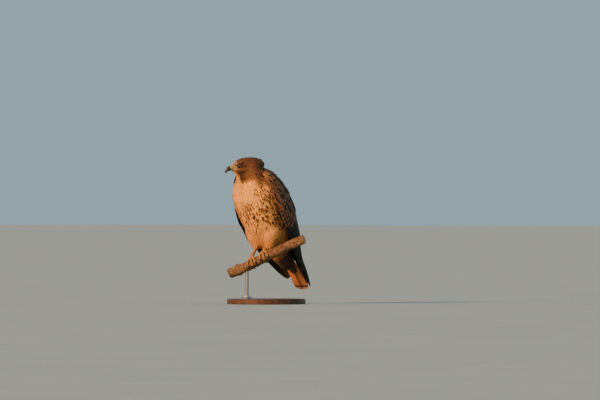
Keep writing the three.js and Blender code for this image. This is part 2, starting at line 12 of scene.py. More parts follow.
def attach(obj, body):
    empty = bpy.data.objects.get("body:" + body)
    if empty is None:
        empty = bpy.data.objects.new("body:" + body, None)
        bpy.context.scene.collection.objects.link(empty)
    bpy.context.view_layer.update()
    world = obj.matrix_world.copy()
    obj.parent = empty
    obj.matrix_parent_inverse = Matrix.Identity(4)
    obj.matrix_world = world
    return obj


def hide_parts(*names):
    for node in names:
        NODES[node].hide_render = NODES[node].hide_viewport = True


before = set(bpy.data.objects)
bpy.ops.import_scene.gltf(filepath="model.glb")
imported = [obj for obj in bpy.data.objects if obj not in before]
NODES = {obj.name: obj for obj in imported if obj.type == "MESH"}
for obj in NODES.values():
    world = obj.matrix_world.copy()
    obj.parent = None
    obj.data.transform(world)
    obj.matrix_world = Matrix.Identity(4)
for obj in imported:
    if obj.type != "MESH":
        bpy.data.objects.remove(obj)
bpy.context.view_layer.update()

MM = 0.001
SIDES = {"left": 1, "right": -1}
SIDEWAYS = np.array([1.0, 0, 0])
UPRIGHT = np.array([0, 0, 1.0])
rng = np.random.default_rng(11)

# Places from the solids, in millimetres from the grip, which is on the perch's axis between the feet
GRIP = np.array([0, -30, 146.0])
HEAD_AT = [-6, -73, 303]
HEAD_YAW = math.radians(-30)
HEAD_PITCH = math.radians(6)
HEAD_FRAME = (
    Matrix.Translation(Vector(GRIP + HEAD_AT) * MM)
    @ Matrix.Rotation(HEAD_YAW, 4, "Z")
    @ Matrix.Rotation(HEAD_PITCH, 4, "X")
)
HEAD_TO = np.array(HEAD_FRAME)
HEAD_BACK = np.array(HEAD_FRAME.inverted())
EYE_AT = np.array([18.6, -17.5, 8.5])
EYE_LOOK = np.array([0.84, -0.54, 0])
EYE_RADIUS = 9.2
BILL_BASE = np.array([0, -44, 2.0])

# Surfaces remeshed from the solids, in metres, and the roots tried for the body's feathers
SKIN_VOXEL = 0.0021
FOOT_VOXEL = 0.0008
ROOTS_TRIED = 140000


def srgb(r, g, b):
    """A colour from its 0 to 255 values, as the renderer's linear numbers"""
    return np.array([((c / 255 + 0.055) / 1.055) ** 2.4 if c > 10 else c / 3294 for c in (r, g, b)])


# Plumage
CREAM = srgb(248, 179, 92)
BUFF = srgb(234, 166, 90)
# undertail: painted shadow of the branch and legs, darker than its own pale buff
VENT_IN_PAINTED_SHADOW = srgb(60, 47, 38)
LEG_BUFF = srgb(204, 138, 72)
RUFOUS = srgb(116, 74, 47)
CROWN = srgb(90, 58, 40)
NAPE = srgb(56, 38, 30)
FOREHEAD = srgb(176, 146, 112)
THROAT = srgb(240, 180, 112)
MALAR = srgb(40, 26, 22)
MANTLE = srgb(48, 37, 31)
COVERT = srgb(70, 52, 40)
MOTTLED = srgb(114, 76, 51)
COVERT_EDGE = srgb(160, 122, 90)
# flight feathers: their own dark brown, darkened further as painted shade for the far wing's shaded inner
# side
FLIGHT_DARK_AND_SHADE = srgb(25, 22, 22)
TAIL_TOP = srgb(172, 92, 42)
TAIL_UNDER = srgb(222, 138, 72)
INK = srgb(56, 32, 20)
DARK_INK = srgb(34, 25, 20)


# Numbers and places
def smooth(a, b, x):
    """Rises from 0 at a to 1 at b"""
    t = np.clip((x - a) / (b - a), 0, 1)
    return t * t * (3 - 2 * t)


def within(x, a, b, c, d):
    """Rises from a to b and falls from c to d"""
    return smooth(a, b, x) * (1 - smooth(c, d, x))


def near(x, centre, width):
    return np.exp(-(((x - centre) / width) ** 2))


def unit(v):
    v = np.asarray(v, float)
    return v / np.maximum(np.linalg.norm(v, axis=-1, keepdims=True), 1e-12)


def blend(a, b, w):
    return a * (1 - w[:, None]) + b * w[:, None]


def slow_noise(p, scale, seed=0):
    """Noise over the body, from about -1 to 1"""
    return np.array([noise.noise(Vector(q)) for q in p / scale + [seed, 0, 0]])


def spline(points, t):
    """Centripetal Catmull-Rom through the points, at shares t of the way"""
    points = np.asarray(points, float)
    t = np.atleast_1d(np.asarray(t, float))
    last = len(points) - 1
    p = np.clip(t, 0, 1) * last
    i = np.minimum(p.astype(int), last - 1)
    w = (p - i)[:, None]
    padded = np.vstack([2 * points[0] - points[1], points, 2 * points[-1] - points[-2]])
    a, b, c, d = (padded[i + k] for k in range(4))
    gaps = (np.linalg.norm(q - r, axis=1, keepdims=True) for q, r in ((a, b), (b, c), (c, d)))
    d0, d1, d2 = (np.maximum(gap**0.5, 1e-4) for gap in gaps)
    m1 = ((b - a) / d0 - (c - a) / (d0 + d1) + (c - b) / d1) * d1
    m2 = ((c - b) / d1 - (d - b) / (d1 + d2) + (d - c) / d2) * d1
    return b + m1 * w + (-3 * b + 3 * c - 2 * m1 - m2) * w**2 + (2 * b - 2 * c + m1 + m2) * w**3


def to_world(p):
    """From millimetres from the grip to metres"""
    return (p + GRIP) * MM


def from_world(p):
    return p / MM - GRIP


def in_head(p):
    """Places from the grip, seen in the head's own frame, in millimetres"""
    return (to_world(np.asarray(p, float)) @ HEAD_BACK[:3, :3].T + HEAD_BACK[:3, 3]) / MM


def from_head(h):
    return from_world(np.asarray(h, float) * MM @ HEAD_TO[:3, :3].T + HEAD_TO[:3, 3])


def from_bill(p):
    """Distance from the base of the bill"""
    return np.linalg.norm(p - from_head(BILL_BASE), axis=1)


def side_of(p):
    """What each place is multiplied by to fold it over to the left"""
    return np.where(p[:, :1] < 0, -1, 1) * [1, 0, 0] + [0, 1, 1]


# Meshes and pieces
def linked(name, mesh):
    piece = bpy.data.objects.new(name, mesh)
    bpy.context.scene.collection.objects.link(piece)
    return piece


def dress(piece, material, replaced=()):
    """Gives a piece its material and body, and hides the solids whose place it takes"""
    piece.data.materials.clear()
    piece.data.materials.append(material)
    piece.data.polygons.foreach_set("use_smooth", [True] * len(piece.data.polygons))
    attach(piece, "root")
    if replaced:
        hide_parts(*replaced)
    return piece


def new_piece(name, verts, faces, material, replaced=()):
    """A piece from places in millimetres from the grip"""
    mesh = bpy.data.meshes.new(name)
    mesh.from_pydata(to_world(np.asarray(verts)).tolist(), [], faces)
    mesh.update()
    return dress(linked(name, mesh), material, replaced)


def store(mesh, name, kind, values):
    """An attribute with a value for each vertex"""
    layer = mesh.attributes.new(name, kind, "POINT")
    values = np.asarray(values, np.float32)
    if kind == "FLOAT_COLOR":
        values = np.hstack([values, np.ones((len(values), 1), np.float32)])
    field = {"FLOAT_COLOR": "color", "FLOAT_VECTOR": "vector", "FLOAT": "value"}[kind]
    layer.data.foreach_set(field, values.ravel())


def bake_map(mesh, uv):
    """The map named OFBake, from a place for each vertex"""
    layer = mesh.uv_layers.new(name="OFBake")
    loops = np.empty(len(mesh.loops), int)
    mesh.loops.foreach_get("vertex_index", loops)
    layer.data.foreach_set("uv", np.asarray(uv, np.float32)[loops].ravel())


def read(mesh, field):
    """The places (co) or normals of a mesh's vertices"""
    out = np.empty(len(mesh.vertices) * 3)
    mesh.vertices.foreach_get(field, out)
    return out.reshape(-1, 3)


def quads(grid, around=False):
    """Faces between neighbours in a grid of vertex numbers, closed round its columns where asked"""
    if around:
        grid = np.hstack([grid, grid[:, :1]])
    corners = grid[:-1, :-1], grid[:-1, 1:], grid[1:, 1:], grid[1:, :-1]
    return np.stack(corners, axis=-1).reshape(-1, 4).tolist()


def solids(*names):
    bm = bmesh.new()
    for name in names:
        bm.from_mesh(NODES[name].data)
    return bm


def remeshed(name, bm, voxel, smoothing):
    """One closed surface round everything in bm"""
    mesh = bpy.data.meshes.new(name)
    bm.to_mesh(mesh)
    bm.free()
    piece = linked(name, mesh)
    shell = piece.modifiers.new("shell", "REMESH")
    shell.mode = "VOXEL"
    shell.voxel_size = voxel
    soft = piece.modifiers.new("soft", "SMOOTH")
    soft.factor = 0.5
    soft.iterations = smoothing
    done = piece.evaluated_get(bpy.context.evaluated_depsgraph_get())
    piece.data = bpy.data.meshes.new_from_object(done)
    piece.modifiers.clear()
    return piece


def tree_of(*meshes):
    """One search tree round several meshes"""
    verts, faces = [], []
    for mesh in meshes:
        start = len(verts)
        verts += [v.co.copy() for v in mesh.vertices]
        faces += [[start + i for i in p.vertices] for p in mesh.polygons]
    return BVHTree.FromPolygons(verts, faces)


# Material nodes
class Value:
    """A socket that sums can be written with"""

    def __init__(self, shader, socket):
        self.shader = shader
        self.socket = socket

    def __add__(self, other):
        return self.shader.math("ADD", self, other)

    def __sub__(self, other):
        return self.shader.math("SUBTRACT", self, other)

    def __mul__(self, other):
        return self.shader.math("MULTIPLY", self, other)

    def __abs__(self):
        return self.shader.math("ABSOLUTE", self)

    def ramp(self, low, high, start=0.0, end=1.0):
        """Goes smoothly from start to end as the value goes from low to high"""
        inputs = {0: self, 1: low, 2: high, 3: start, 4: end}
        return self.shader.node("MapRange", 0, inputs, interpolation_type="SMOOTHSTEP")


class Shader:
    """Builds one procedural material"""

    def __init__(self, name, roughness, specular, **fixed):
        self.material = bpy.data.materials.new(name)
        self.material.use_nodes = True
        self.tree = self.material.node_tree
        self.surface = self.tree.nodes["Principled BSDF"]
        self.surface.inputs["Roughness"].default_value = roughness
        self.surface.inputs["Specular IOR Level"].default_value = specular
        for key, value in fixed.items():
            self.surface.inputs[key.replace("_", " ").title()].default_value = value

    def node(self, kind, out, inputs=None, **settings):
        made = self.tree.nodes.new("ShaderNode" + kind)
        for key, value in settings.items():
            setattr(made, key, value)
        for key, value in (inputs or {}).items():
            self.set(made.inputs[key], value)
        return Value(self, made.outputs[out])

    def set(self, socket, value):
        if isinstance(value, Value):
            self.tree.links.new(value.socket, socket)
        elif np.ndim(value):
            socket.default_value = [float(v) for v in value] + [1.0] * (socket.type == "RGBA")
        else:
            socket.default_value = value

    def math(self, operation, a, b=0.0):
        return self.node("Math", 0, {0: a, 1: b}, operation=operation)

    def mix(self, share, a, b, how="MIX"):
        return self.node("Mix", 2, {0: share, 6: a, 7: b}, data_type="RGBA", blend_type=how)

    def darken(self, share, base, shade):
        return self.mix(share, base, shade, "MULTIPLY")

    def attribute(self, name, out="Vector"):
        return self.node("Attribute", out, attribute_name=name)

    def place(self, *scale):
        """The surface's own place, stretched where a scale is given"""
        at = self.node("TexCoord", "Object")
        return self.node("Mapping", "Vector", {"Vector": at, "Scale": scale}) if scale else at

    def noise(self, scale, detail=3.0, rough=0.5, where=None):
        inputs = {"Vector": where or self.place(), "Scale": scale, "Detail": detail, "Roughness": rough}
        return self.node("TexNoise", "Fac", inputs)

    def cells(self, scale, where=None):
        """Distance from the edges of a net of cells"""
        inputs = {"Vector": where or self.place(), "Scale": scale}
        return self.node("TexVoronoi", "Distance", inputs, feature="DISTANCE_TO_EDGE")

    def parts(self, vector):
        made = self.node("SeparateXYZ", 0, {0: vector}).socket.node
        return [Value(self, out) for out in made.outputs]

    def barbs(self, along, side, count, slant):
        """Fine ridges that run out from the shaft towards the tip"""
        run = along * count - side * slant + self.noise(90, 2) * 3.0
        return self.math("SINE", run * math.tau)

    def done(self, colour, bump=None, rough=None):
        """Links the surface up. bump is a height, a strength and a distance in metres"""
        self.set(self.surface.inputs["Base Color"], colour)
        if bump:
            inputs = dict(zip(("Height", "Strength", "Distance"), bump))
            self.set(self.surface.inputs["Normal"], self.node("Bump", "Normal", inputs))
        if rough:
            self.set(self.surface.inputs["Roughness"], rough)
        return self.material


def feather_material(name, barbs, sheen=0.05, roughness=0.72):
    """Vanes: tint and ink are colours, quill is along, across and a seed, marks are streak, bars and edge"""
    s = Shader(name, roughness, 0.12, sheen_weight=sheen, sheen_roughness=0.5)
    tint = s.attribute("tint", "Color")
    along, across, seed = s.parts(s.attribute("quill"))
    streak, bars, edge = s.parts(s.attribute("marks"))
    side = abs(across)
    ragged = s.noise(420, 2) - 0.5

    # a dark teardrop along the shaft, widest near the tip
    belly = along.ramp(0.1, 0.7, 0.15, 0.6) * along.ramp(0.84, 1, 1, 0.1)
    drop = (belly + ragged * 0.3 - side).ramp(-0.06, 0.1) * streak

    # bars across the vane, with pale spots between them
    beat = s.math("FRACT", along * 7.5 + side * -0.45 + seed + ragged * 0.25)
    off = abs(beat - 0.5)
    bar = off.ramp(0.12, 0.24, 1, 0) * bars
    spots = off.ramp(0.3, 0.44) * s.noise(70, 3).ramp(0.46, 0.6)
    spots = spots * bars.ramp(0.35, 0.75) * side.ramp(0.15, 0.45)

    # pale fringe, dark shaft, and dusky down at the root, partly painted shade where the feathers overlap
    fringe = s.math("MAXIMUM", side.ramp(0.62, 0.95), along.ramp(0.84, 0.98)) * edge * along.ramp(0.2, 0.5)
    mottle = s.noise(260, 3, 0.6)
    pale = s.mix(0.75, tint, COVERT_EDGE)
    base = s.darken(mottle.ramp(0.3, 0.75, 0, 0.35), tint, (0.62, 0.58, 0.55))
    base = s.mix(fringe, base, pale)
    base = s.mix(spots, base, pale)
    base = s.mix(s.math("MAXIMUM", drop, bar), base, s.attribute("ink", "Color"))
    base = s.darken(side.ramp(0.02, 0.06, 0.35, 0) * along.ramp(0.1, 0.3), base, (0.45, 0.4, 0.36))
    # darker towards the root: grey down, and painted shade under the overlapping feathers
    base = s.darken(along.ramp(0, 0.42, 0.55, 0), base, (0.5, 0.46, 0.44))

    height = s.barbs(along, side, barbs, barbs * 0.22) * 0.5 + s.noise(1500, 2) * 0.8
    return s.done(base, (height, 0.35, 0.0002), mottle.ramp(0.2, 0.8, roughness - 0.08, roughness + 0.1))


def tail_material():
    """Rufous, with one narrow dark band short of a pale tip"""
    s = Shader("tail_feathers", 0.6, 0.25, sheen_weight=0.08)
    along, across, _ = s.parts(s.attribute("quill"))
    side = abs(across)
    at = along + (s.noise(300, 2) - 0.5) * 0.012 + side * 0.012
    band = at.ramp(0.915, 0.925) * at.ramp(0.958, 0.966, 1, 0)
    base = s.darken(s.noise(140, 3).ramp(0.3, 0.7, 0, 0.35), s.attribute("tint", "Color"), (0.7, 0.62, 0.55))
    base = s.mix(at.ramp(0.962, 0.975, 0, 0.7), base, srgb(222, 180, 130))
    base = s.mix(band * 0.85, base, DARK_INK)
    base = s.darken(side.ramp(0.02, 0.06, 0.3, 0), base, (0.5, 0.42, 0.36))
    barbs = s.barbs(along, side, 190.0, 26.0)
    return s.done(base, (barbs, 0.3, 0.0002), s.noise(200, 2).ramp(0.3, 0.7, 0.5, 0.66))


def down_material():
    """The skin between the feathers"""
    s = Shader("down", 0.9, 0.15, sheen_weight=0.3)
    fine = s.noise(700, 4, 0.7)
    base = s.darken(fine.ramp(0.3, 0.7, 0, 0.6), s.attribute("tint", "Color"), (0.45, 0.4, 0.36))
    return s.done(base, (fine, 0.6, 0.0006))


def horn_material():
    """Bill and claws, paler where pale says"""
    s = Shader("horn", 0.28, 0.5, coat_weight=0.3)
    streaks = s.noise(900, where=s.place(1, 1, 0.2))
    base = s.mix(streaks.ramp(0.35, 0.7), srgb(26, 23, 23), srgb(48, 43, 42))
    base = s.mix(s.attribute("pale", "Fac"), base, srgb(74, 76, 82))
    return s.done(base, (streaks, 0.25, 0.0002), streaks.ramp(0.3, 0.7, 0.22, 0.42))


def waxy_material():
    """The cere and the corners of the mouth, with painted shade in the nostrils"""
    s = Shader("waxy_skin", 0.42, 0.45, subsurface_weight=0.1, subsurface_radius=(0.004, 0.002, 0.0008))
    base = s.mix(s.noise(240).ramp(0.3, 0.7), srgb(166, 148, 96), srgb(132, 120, 84))
    # near-black painted shade where the nostril dents are
    base = s.mix(s.attribute("pale", "Fac"), base, srgb(22, 18, 14))
    return s.done(base, (s.noise(1200), 0.3, 0.0003))


def scaled_material():
    """Toes and shanks: horny plates with dark seams"""
    s = Shader("scaled_skin", 0.45, 0.45)
    cells = s.cells(520.0)
    patches = s.noise(120)
    base = s.mix(patches.ramp(0.3, 0.7), srgb(176, 136, 66), srgb(150, 108, 56))
    base = s.mix(cells.ramp(0, 0.12, 1, 0) * 0.55, base, srgb(104, 70, 36))
    return s.done(base, (cells.ramp(0, 0.16), 0.6, 0.0006), patches.ramp(0.3, 0.7, 0.38, 0.55))


def eye_material():
    """Dark brown iris and black pupil, by how far the surface faces ahead"""
    s = Shader("eye", 0.05, 0.35, coat_weight=0.35, coat_roughness=0.02)
    ahead = s.attribute("look", "Fac")
    iris = s.mix(s.noise(900).ramp(0.35, 0.65), srgb(70, 36, 18), srgb(104, 58, 28))
    iris = s.mix(ahead.ramp(0.76, 0.84), srgb(22, 14, 10), iris)
    return s.done(s.mix(ahead.ramp(0.895, 0.91), iris, srgb(4, 4, 4)))


def lid_material():
    """Rims of the eyes, and the browner ridge of the brow"""
    s = Shader("lids", 0.6, 0.35)
    fine = s.noise(1500)
    ring = s.mix(fine.ramp(0.3, 0.7), srgb(66, 56, 40), srgb(112, 98, 64))
    ridge = s.mix(fine.ramp(0.3, 0.7), srgb(46, 32, 24), srgb(84, 56, 38))
    return s.done(s.mix(s.attribute("pale", "Fac"), ring, ridge), (fine, 0.4, 0.0003))


def bark_material():
    """Plated bark with lichen, and ringed wood at the cuts"""
    s = Shader("bark", 0.88, 0.25)
    grain = s.attribute("grain")
    plates = s.cells(1.0, s.node("VectorMath", 0, {0: grain, 1: (38, 110, 110)}, operation="MULTIPLY"))
    fine = s.noise(420, 4, 0.65)
    base = s.mix(s.noise(26, 4, 0.6).ramp(0.35, 0.65), srgb(108, 80, 60), srgb(146, 116, 86))
    base = s.mix(fine.ramp(0.35, 0.7), base, srgb(96, 70, 52))
    base = s.mix(plates.ramp(0, 0.09, 0.75, 0), base, srgb(58, 42, 32))
    base = s.mix(s.noise(60, 4, 0.7).ramp(0.6, 0.68) * 0.45, base, srgb(160, 160, 138))
    _, y, z = s.parts(grain)
    radius = s.math("SQRT", y * y + z * z)
    rings = s.math("SINE", radius * 2600.0 + fine * 3.0)
    wood = s.mix(rings.ramp(-0.6, 0.8), srgb(196, 158, 112), srgb(158, 116, 76))
    wood = s.mix(radius.ramp(0.0138, 0.0148), wood, srgb(84, 60, 42))
    height = plates.ramp(0, 0.12) + fine * 0.8
    base = s.mix(s.attribute("cut", "Fac"), base, wood)
    return s.done(base, (height, 0.6, 0.0008), fine.ramp(0.3, 0.7, 0.8, 0.95))


def wood_material():
    """The stand's base: dark stained, satin"""
    s = Shader("stained_wood", 0.45, 0.35, coat_weight=0.1, coat_roughness=0.35)
    stretched = s.place(1.4, 22, 22)
    grain = s.noise(9, 6, 0.6, stretched)
    fine = s.noise(60, 4, 0.6, stretched)
    base = s.mix(grain.ramp(0.3, 0.7), srgb(52, 35, 25), srgb(92, 62, 42))
    base = s.mix(fine.ramp(0.4, 0.75, 0, 0.5), base, srgb(36, 24, 18))
    return s.done(base, (fine, 0.15, 0.0003), grain.ramp(0.3, 0.7, 0.42, 0.56))


def steel_material():
    """The stand's rod and collar: turned, satin"""
    s = Shader("satin_steel", 0.32, 0.5, metallic=1.0)
    lines = s.noise(60, 3, 0.6, s.place(1, 1, 60))
    base = s.mix(lines.ramp(0.3, 0.7), srgb(150, 150, 152), srgb(186, 186, 188))
    return s.done(base, (lines, 0.06, 0.0002), lines.ramp(0.3, 0.7, 0.26, 0.4))


def floor_material():
    s = Shader("floor_paint", 0.9, 0.05)
    return s.done(s.mix(s.noise(3).ramp(0.3, 0.7), srgb(150, 170, 176), srgb(154, 174, 180)))


BODY = feather_material("contour_feathers", 26)
FINE = feather_material("face_feathers", 10)
FLIGHTS = feather_material("flight_feathers", 150, 0.03, 0.6)
HORN = horn_material()
WAXY = waxy_material()
LIDS = lid_material()

# The bird's lines, from the grip, and the way feathers lie along them
SPINE = [
    [-8, -63, 304], [-3, -54, 288], [0, -42, 270], [0, -18, 234], [0, 4, 192], [0, 26, 148],
    [0, 46, 106], [0, 68, 68], [0, 92, 32], [0, 116, 0], [0, 137, -28],
]
LEG = [[42, 30, 140], [41, 22, 108], [37, 17, 78], [31, 17, 54], [27, 15, 35]]
WING = [
    [0, -44, 284], [0, -32, 264], [0, -14, 232], [0, 6, 192], [0, 28, 150], [0, 50, 108],
    [0, 74, 66], [0, 98, 28], [0, 128, -8], [0, 166, -48], [0, 206, -88],
]
# how far the wing stands out to the side and back from its line
WING_REACH = [
    [50, 32], [70, 48], [86, 65], [97, 79], [100, 82], [94, 79],
    [87, 70], [78, 56], [62, 40], [48, 24], [31, 12],
]
CORE_START, CORE_END = 0.035, 0.46


def nearest_on(line, p):
    """Distance to the line, its way there and its nearest place"""
    dense = spline(line, np.linspace(0, 1, 90))
    ways = unit(np.gradient(dense, axis=0))
    gaps = np.linalg.norm(p[:, None] - dense[None], axis=2)
    at = gaps.argmin(axis=1)
    return gaps[np.arange(len(p)), at], ways[at], dense[at]


def lie(p, n):
    """The direction feathers lie in at places p with normals n"""
    far, flow, _ = nearest_on(SPINE, p)
    mirror = side_of(p)
    leg_far, leg_flow, _ = nearest_on(LEG, p * mirror)
    on_leg = smooth(-0.1, 0.25, far / 78 - leg_far / 36) * (1 - smooth(105, 140, p[:, 2]))
    flow = unit(blend(flow, leg_flow * mirror, on_leg))
    on_face = 1 - smooth(50, 95, from_bill(p))
    flow = unit(blend(flow, unit(p - from_head(BILL_BASE)), on_face))
    return unit(flow - n * (flow * n).sum(axis=1, keepdims=True))


def plumage(p):
    """Colour, ink and marks of the coat at places from the grip"""
    x, y, z = p.T
    _, _, axis = nearest_on(SPINE, p)
    around = np.degrees(np.arctan2(np.abs(x), -(y - axis[:, 1])))
    soft = slow_noise(p, 16)
    fine = slow_noise(p, 7, 5)
    turn = around + 7 * soft
    height = z + 7 * soft
    front = 1 - smooth(84, 112, turn)

    # body: dark above, buff below with a streaked band and flanks, and painted shade on the undertail
    tint = blend(MANTLE, COVERT, smooth(0.1, 0.5, fine))
    under = blend(BUFF, CREAM, smooth(150, 205, height))
    under = blend(under, LEG_BUFF, 1 - smooth(60, 120, height))
    # painted shadow under the tail, where the branch and legs would shade it
    under = blend(under, VENT_IN_PAINTED_SHADOW, smooth(56, 92, y) * (1 - smooth(40, 80, z)))
    tint = blend(tint, under, front)
    brown_side = smooth(50, 80, turn) * within(height, 96, 124, 216, 240)
    tint = blend(tint, MOTTLED * 1.2, 0.7 * brown_side * front)
    ink = blend(DARK_INK, INK, front)
    band = within(height, 112, 132, 180, 198)
    flank = smooth(34, 62, turn) * within(height, 96, 124, 222, 250)
    streak = front * np.clip(band * (0.62 + 0.7 * fine) + flank, 0.02, 1) * (1 - smooth(50, 80, y))
    bars = front * 0.35 * (1 - smooth(30, 90, height)) * smooth(-0.1, 0.3, fine)
    bars = np.maximum(bars, (1 - front) * 0.5 * smooth(0.0, 0.4, soft))
    edge = 1 - front * 0.7

    # neck: brown down its sides and back, pale in front, and a pale patch above the shoulder
    neck = smooth(228, 252, z + 4 * fine)
    sides = smooth(46, 72, turn)
    brown = blend(NAPE, RUFOUS, smooth(-0.2, 0.4, soft) * 0.7)
    tint = blend(tint, brown, neck * sides)
    ink = blend(ink, DARK_INK, neck * sides)
    streak = streak * (1 - neck) + neck * sides * 0.5
    patch = near(z, 246, 17) * near(around, 92, 20) * 1.2
    tint = blend(tint, BUFF, np.clip(patch, 0, 0.8))

    # head: pale forehead, lores and throat, dark behind the eye and in a stripe below it
    h = in_head(p)
    hx, hy, hz = np.abs(h[:, 0]), h[:, 1], h[:, 2]
    head = 1 - smooth(46, 66, np.linalg.norm(h - [0, 8, 2], axis=1) + 5 * fine)
    face = blend(RUFOUS, CROWN, smooth(6, 18, hz + 3 * fine))
    face = blend(face, NAPE, smooth(16, 40, hy) * smooth(-26, 2, hz) * 0.85)
    face = blend(face, FOREHEAD, (1 - smooth(-32, -20, hy)) * smooth(6, 12, hz))
    face = blend(face, FOREHEAD, np.clip(near(hy, -33, 8) * near(hz, 5, 8) * 1.1, 0, 0.9))
    face = blend(face, MALAR, np.clip(near(hy, -4, 11) * near(hz, 7, 5) * (hx > 12), 0, 0.8))
    throat = (1 - smooth(9, 15, hx)) * (1 - smooth(-12, -4, hz)) * (1 - smooth(26, 44, hy))
    face = blend(face, THROAT, throat)
    stripe = near(hx, 20 + 0.12 * (hy + 20), 6.5) * within(hy, -36, -26, 4, 22) * (1 - smooth(-10, -3, hz))
    face = blend(face, MALAR, np.clip(stripe * 1.2, 0, 0.75))
    tint = blend(tint, face, head)
    ink = blend(ink, MALAR, head)
    streak = streak * (1 - head) + head * (0.25 + 0.4 * throat)
    bars = bars * (1 - np.maximum(head, neck))
    edge = edge * (1 - head) + 0.35 * head
    return tint, ink, np.clip(np.stack([streak, bars, edge], axis=1), 0, 1)


def stray(tint, amount):
    """A little difference from one feather to the next"""
    n = len(tint)
    brightness = 1 + amount * rng.normal(size=(n, 1))
    hue = 1 + 0.3 * amount * rng.normal(size=(n, 3))
    return np.clip(tint * brightness * hue, 0.004, 0.9)


# Vanes, many at once. at, across and out are (feathers, rows, 3): each row's place, its way across and its
# way out. half is (feathers, rows), half the width, and shares says how far along the feather each row is.
Vanes = namedtuple("Vanes", "at across out half shares")
# How a vane is built: its columns, thickness and camber in millimetres, and its patch of the map
Build = namedtuple("Build", "columns thick camber patch")
COLUMNS = (-1, -0.7, -0.36, -0.07, 0, 0.07, 0.36, 0.7, 1)
BODY_BUILD = Build((-1, 0, 1), 0.09, 0.2, 0.003)
WING_BUILD = Build(COLUMNS, 0.18, 0.1, 0.045)
TAIL_BUILD = Build(COLUMNS, 0.16, 0.03, 0.09)
COVERT_BUILD = Build(COLUMNS, 0.16, 0.12, 0.09)


def stack(feathers, shares):
    """Vanes from a list with at, across, out and half for each feather"""
    return Vanes(*(np.array(part) for part in zip(*feathers)), shares)


def vane_mesh(name, vanes, build):
    """A closed lens for each feather, and the place across it of each vertex in a row"""
    n, rows, _ = vanes.at.shape
    u = np.array(build.columns)
    half = vanes.half[:, :, None]
    wide = (u * half)[..., None] * vanes.across[:, :, None]
    dome = build.camber * half * (1 - u**2)
    body = build.thick * (1 - u**2)
    inner = slice(len(u) - 2, 0, -1)
    rise = np.concatenate([dome + body, (dome - body)[:, :, inner]], axis=2)
    wide = np.concatenate([wide, wide[:, :, inner]], axis=2)
    verts = vanes.at[:, :, None] + wide + rise[..., None] * vanes.out[:, :, None]
    size = verts.shape[2]
    grid = np.arange(n * rows * size).reshape(n, rows, size)
    ahead = np.roll(grid, -1, axis=2)
    sides = np.stack([grid[:, :-1], ahead[:, :-1], ahead[:, 1:], grid[:, 1:]], axis=-1).reshape(-1, 4)
    caps = np.concatenate([grid[:, 0, ::-1], grid[:, -1]])
    counts = np.concatenate([np.full(len(sides), 4), np.full(len(caps), size)])
    corners = np.concatenate([sides.ravel(), caps.ravel()])
    mesh = bpy.data.meshes.new(name)
    mesh.vertices.add(grid.size)
    mesh.vertices.foreach_set("co", to_world(verts).ravel())
    mesh.loops.add(len(corners))
    mesh.loops.foreach_set("vertex_index", corners)
    mesh.polygons.add(len(counts))
    mesh.polygons.foreach_set("loop_start", np.cumsum(counts) - counts)
    mesh.update(calc_edges=True)
    mesh.validate()
    return mesh, np.concatenate([u, u[inner]])


def feather_piece(name, vanes, tint, ink, marks, uv, material, build=BODY_BUILD, replaced=()):
    """One piece of many feathers, each with its own colours, marks and patch of the map"""
    mesh, u = vane_mesh(name, vanes, build)
    n, rows, _ = vanes.at.shape
    size = len(u)
    along = np.asarray(vanes.shares)[:, None]
    quill = np.zeros((n, rows, size, 3))
    quill[..., 0] = along
    quill[..., 1] = u
    quill[..., 2] = rng.random(n)[:, None, None]
    store(mesh, "quill", "FLOAT_VECTOR", quill.reshape(-1, 3))
    for key, kind, values in (
        ("tint", "FLOAT_COLOR", tint), ("ink", "FLOAT_COLOR", ink), ("marks", "FLOAT_VECTOR", marks),
    ):
        if np.ndim(values) < 4:
            values = np.broadcast_to(values, (n, 3))[:, None, None] * np.ones((1, rows, size, 1))
        store(mesh, key, kind, values.reshape(-1, 3))
    patch = np.empty((n, rows, size, 2))
    patch[..., 0] = uv[:, None, None, 0] + u * 0.5 * build.patch
    patch[..., 1] = uv[:, None, None, 1] + (along - 0.5) * build.patch
    bake_map(mesh, patch.reshape(-1, 2))
    mesh.set_sharp_from_angle(angle=math.radians(70))
    return dress(linked(name, mesh), material, replaced)


def vane_width(s, tip=0.3, shoulder=0.7):
    """A large feather's width at shares s of its length, which closes in past the shoulder"""
    grown = 0.42 + 0.58 * np.clip(s / 0.35, 0, 1) ** 0.7
    closing = np.sqrt(np.clip(1 - (np.clip(s - shoulder, 0, 1) / (1 - shoulder)) ** 2.2, 0, 1))
    return grown * (tip * 0.2 + (1 - tip * 0.2) * closing)


def rows_along(count):
    """Shares along a feather, closer together towards its rounded tip"""
    return 1 - (1 - np.linspace(0, 1, count)) ** 1.6


def map_places(start, count, cols):
    """A patch of the map for each of a few large feathers"""
    i = np.arange(count) + start
    return np.stack([(i % cols + 0.5) / cols, (i // cols + 0.5) / cols], axis=1)


# The wing's surface: t runs from shoulder to tip, and degrees from the middle of the back to the front
def wing_skin(sign, t, degrees):
    t = np.atleast_1d(np.asarray(t, float))
    angle = np.radians(np.broadcast_to(np.asarray(degrees, float), t.shape))
    step = 1e-3
    along = unit(spline(WING, np.clip(t + step, 0, 1)) - spline(WING, np.clip(t - step, 0, 1)))
    reach = spline(np.pad(np.array(WING_REACH, float), ((0, 0), (0, 1))), t)
    aside = (sign * np.sin(angle) * reach[:, 0])[:, None] * SIDEWAYS
    return spline(WING, t) + aside + (np.cos(angle) * reach[:, 1])[:, None] * np.cross(SIDEWAYS, along)


def wing_out(sign, t, degrees):
    """The way out of the wing's surface"""
    t, degrees = np.asarray(t), np.asarray(degrees)
    step = 0.01
    past, before = np.minimum(1, t + step), np.maximum(0, t - step)
    along = wing_skin(sign, past, degrees) - wing_skin(sign, before, degrees)
    around = wing_skin(sign, t, degrees + 1) - wing_skin(sign, t, degrees - 1)
    return unit(np.cross(around, along) * sign)


def core_lift(t):
    """How far the wing's flesh stands over its surface"""
    return 7 * np.maximum(0, 1 - np.asarray(t) / CORE_END)


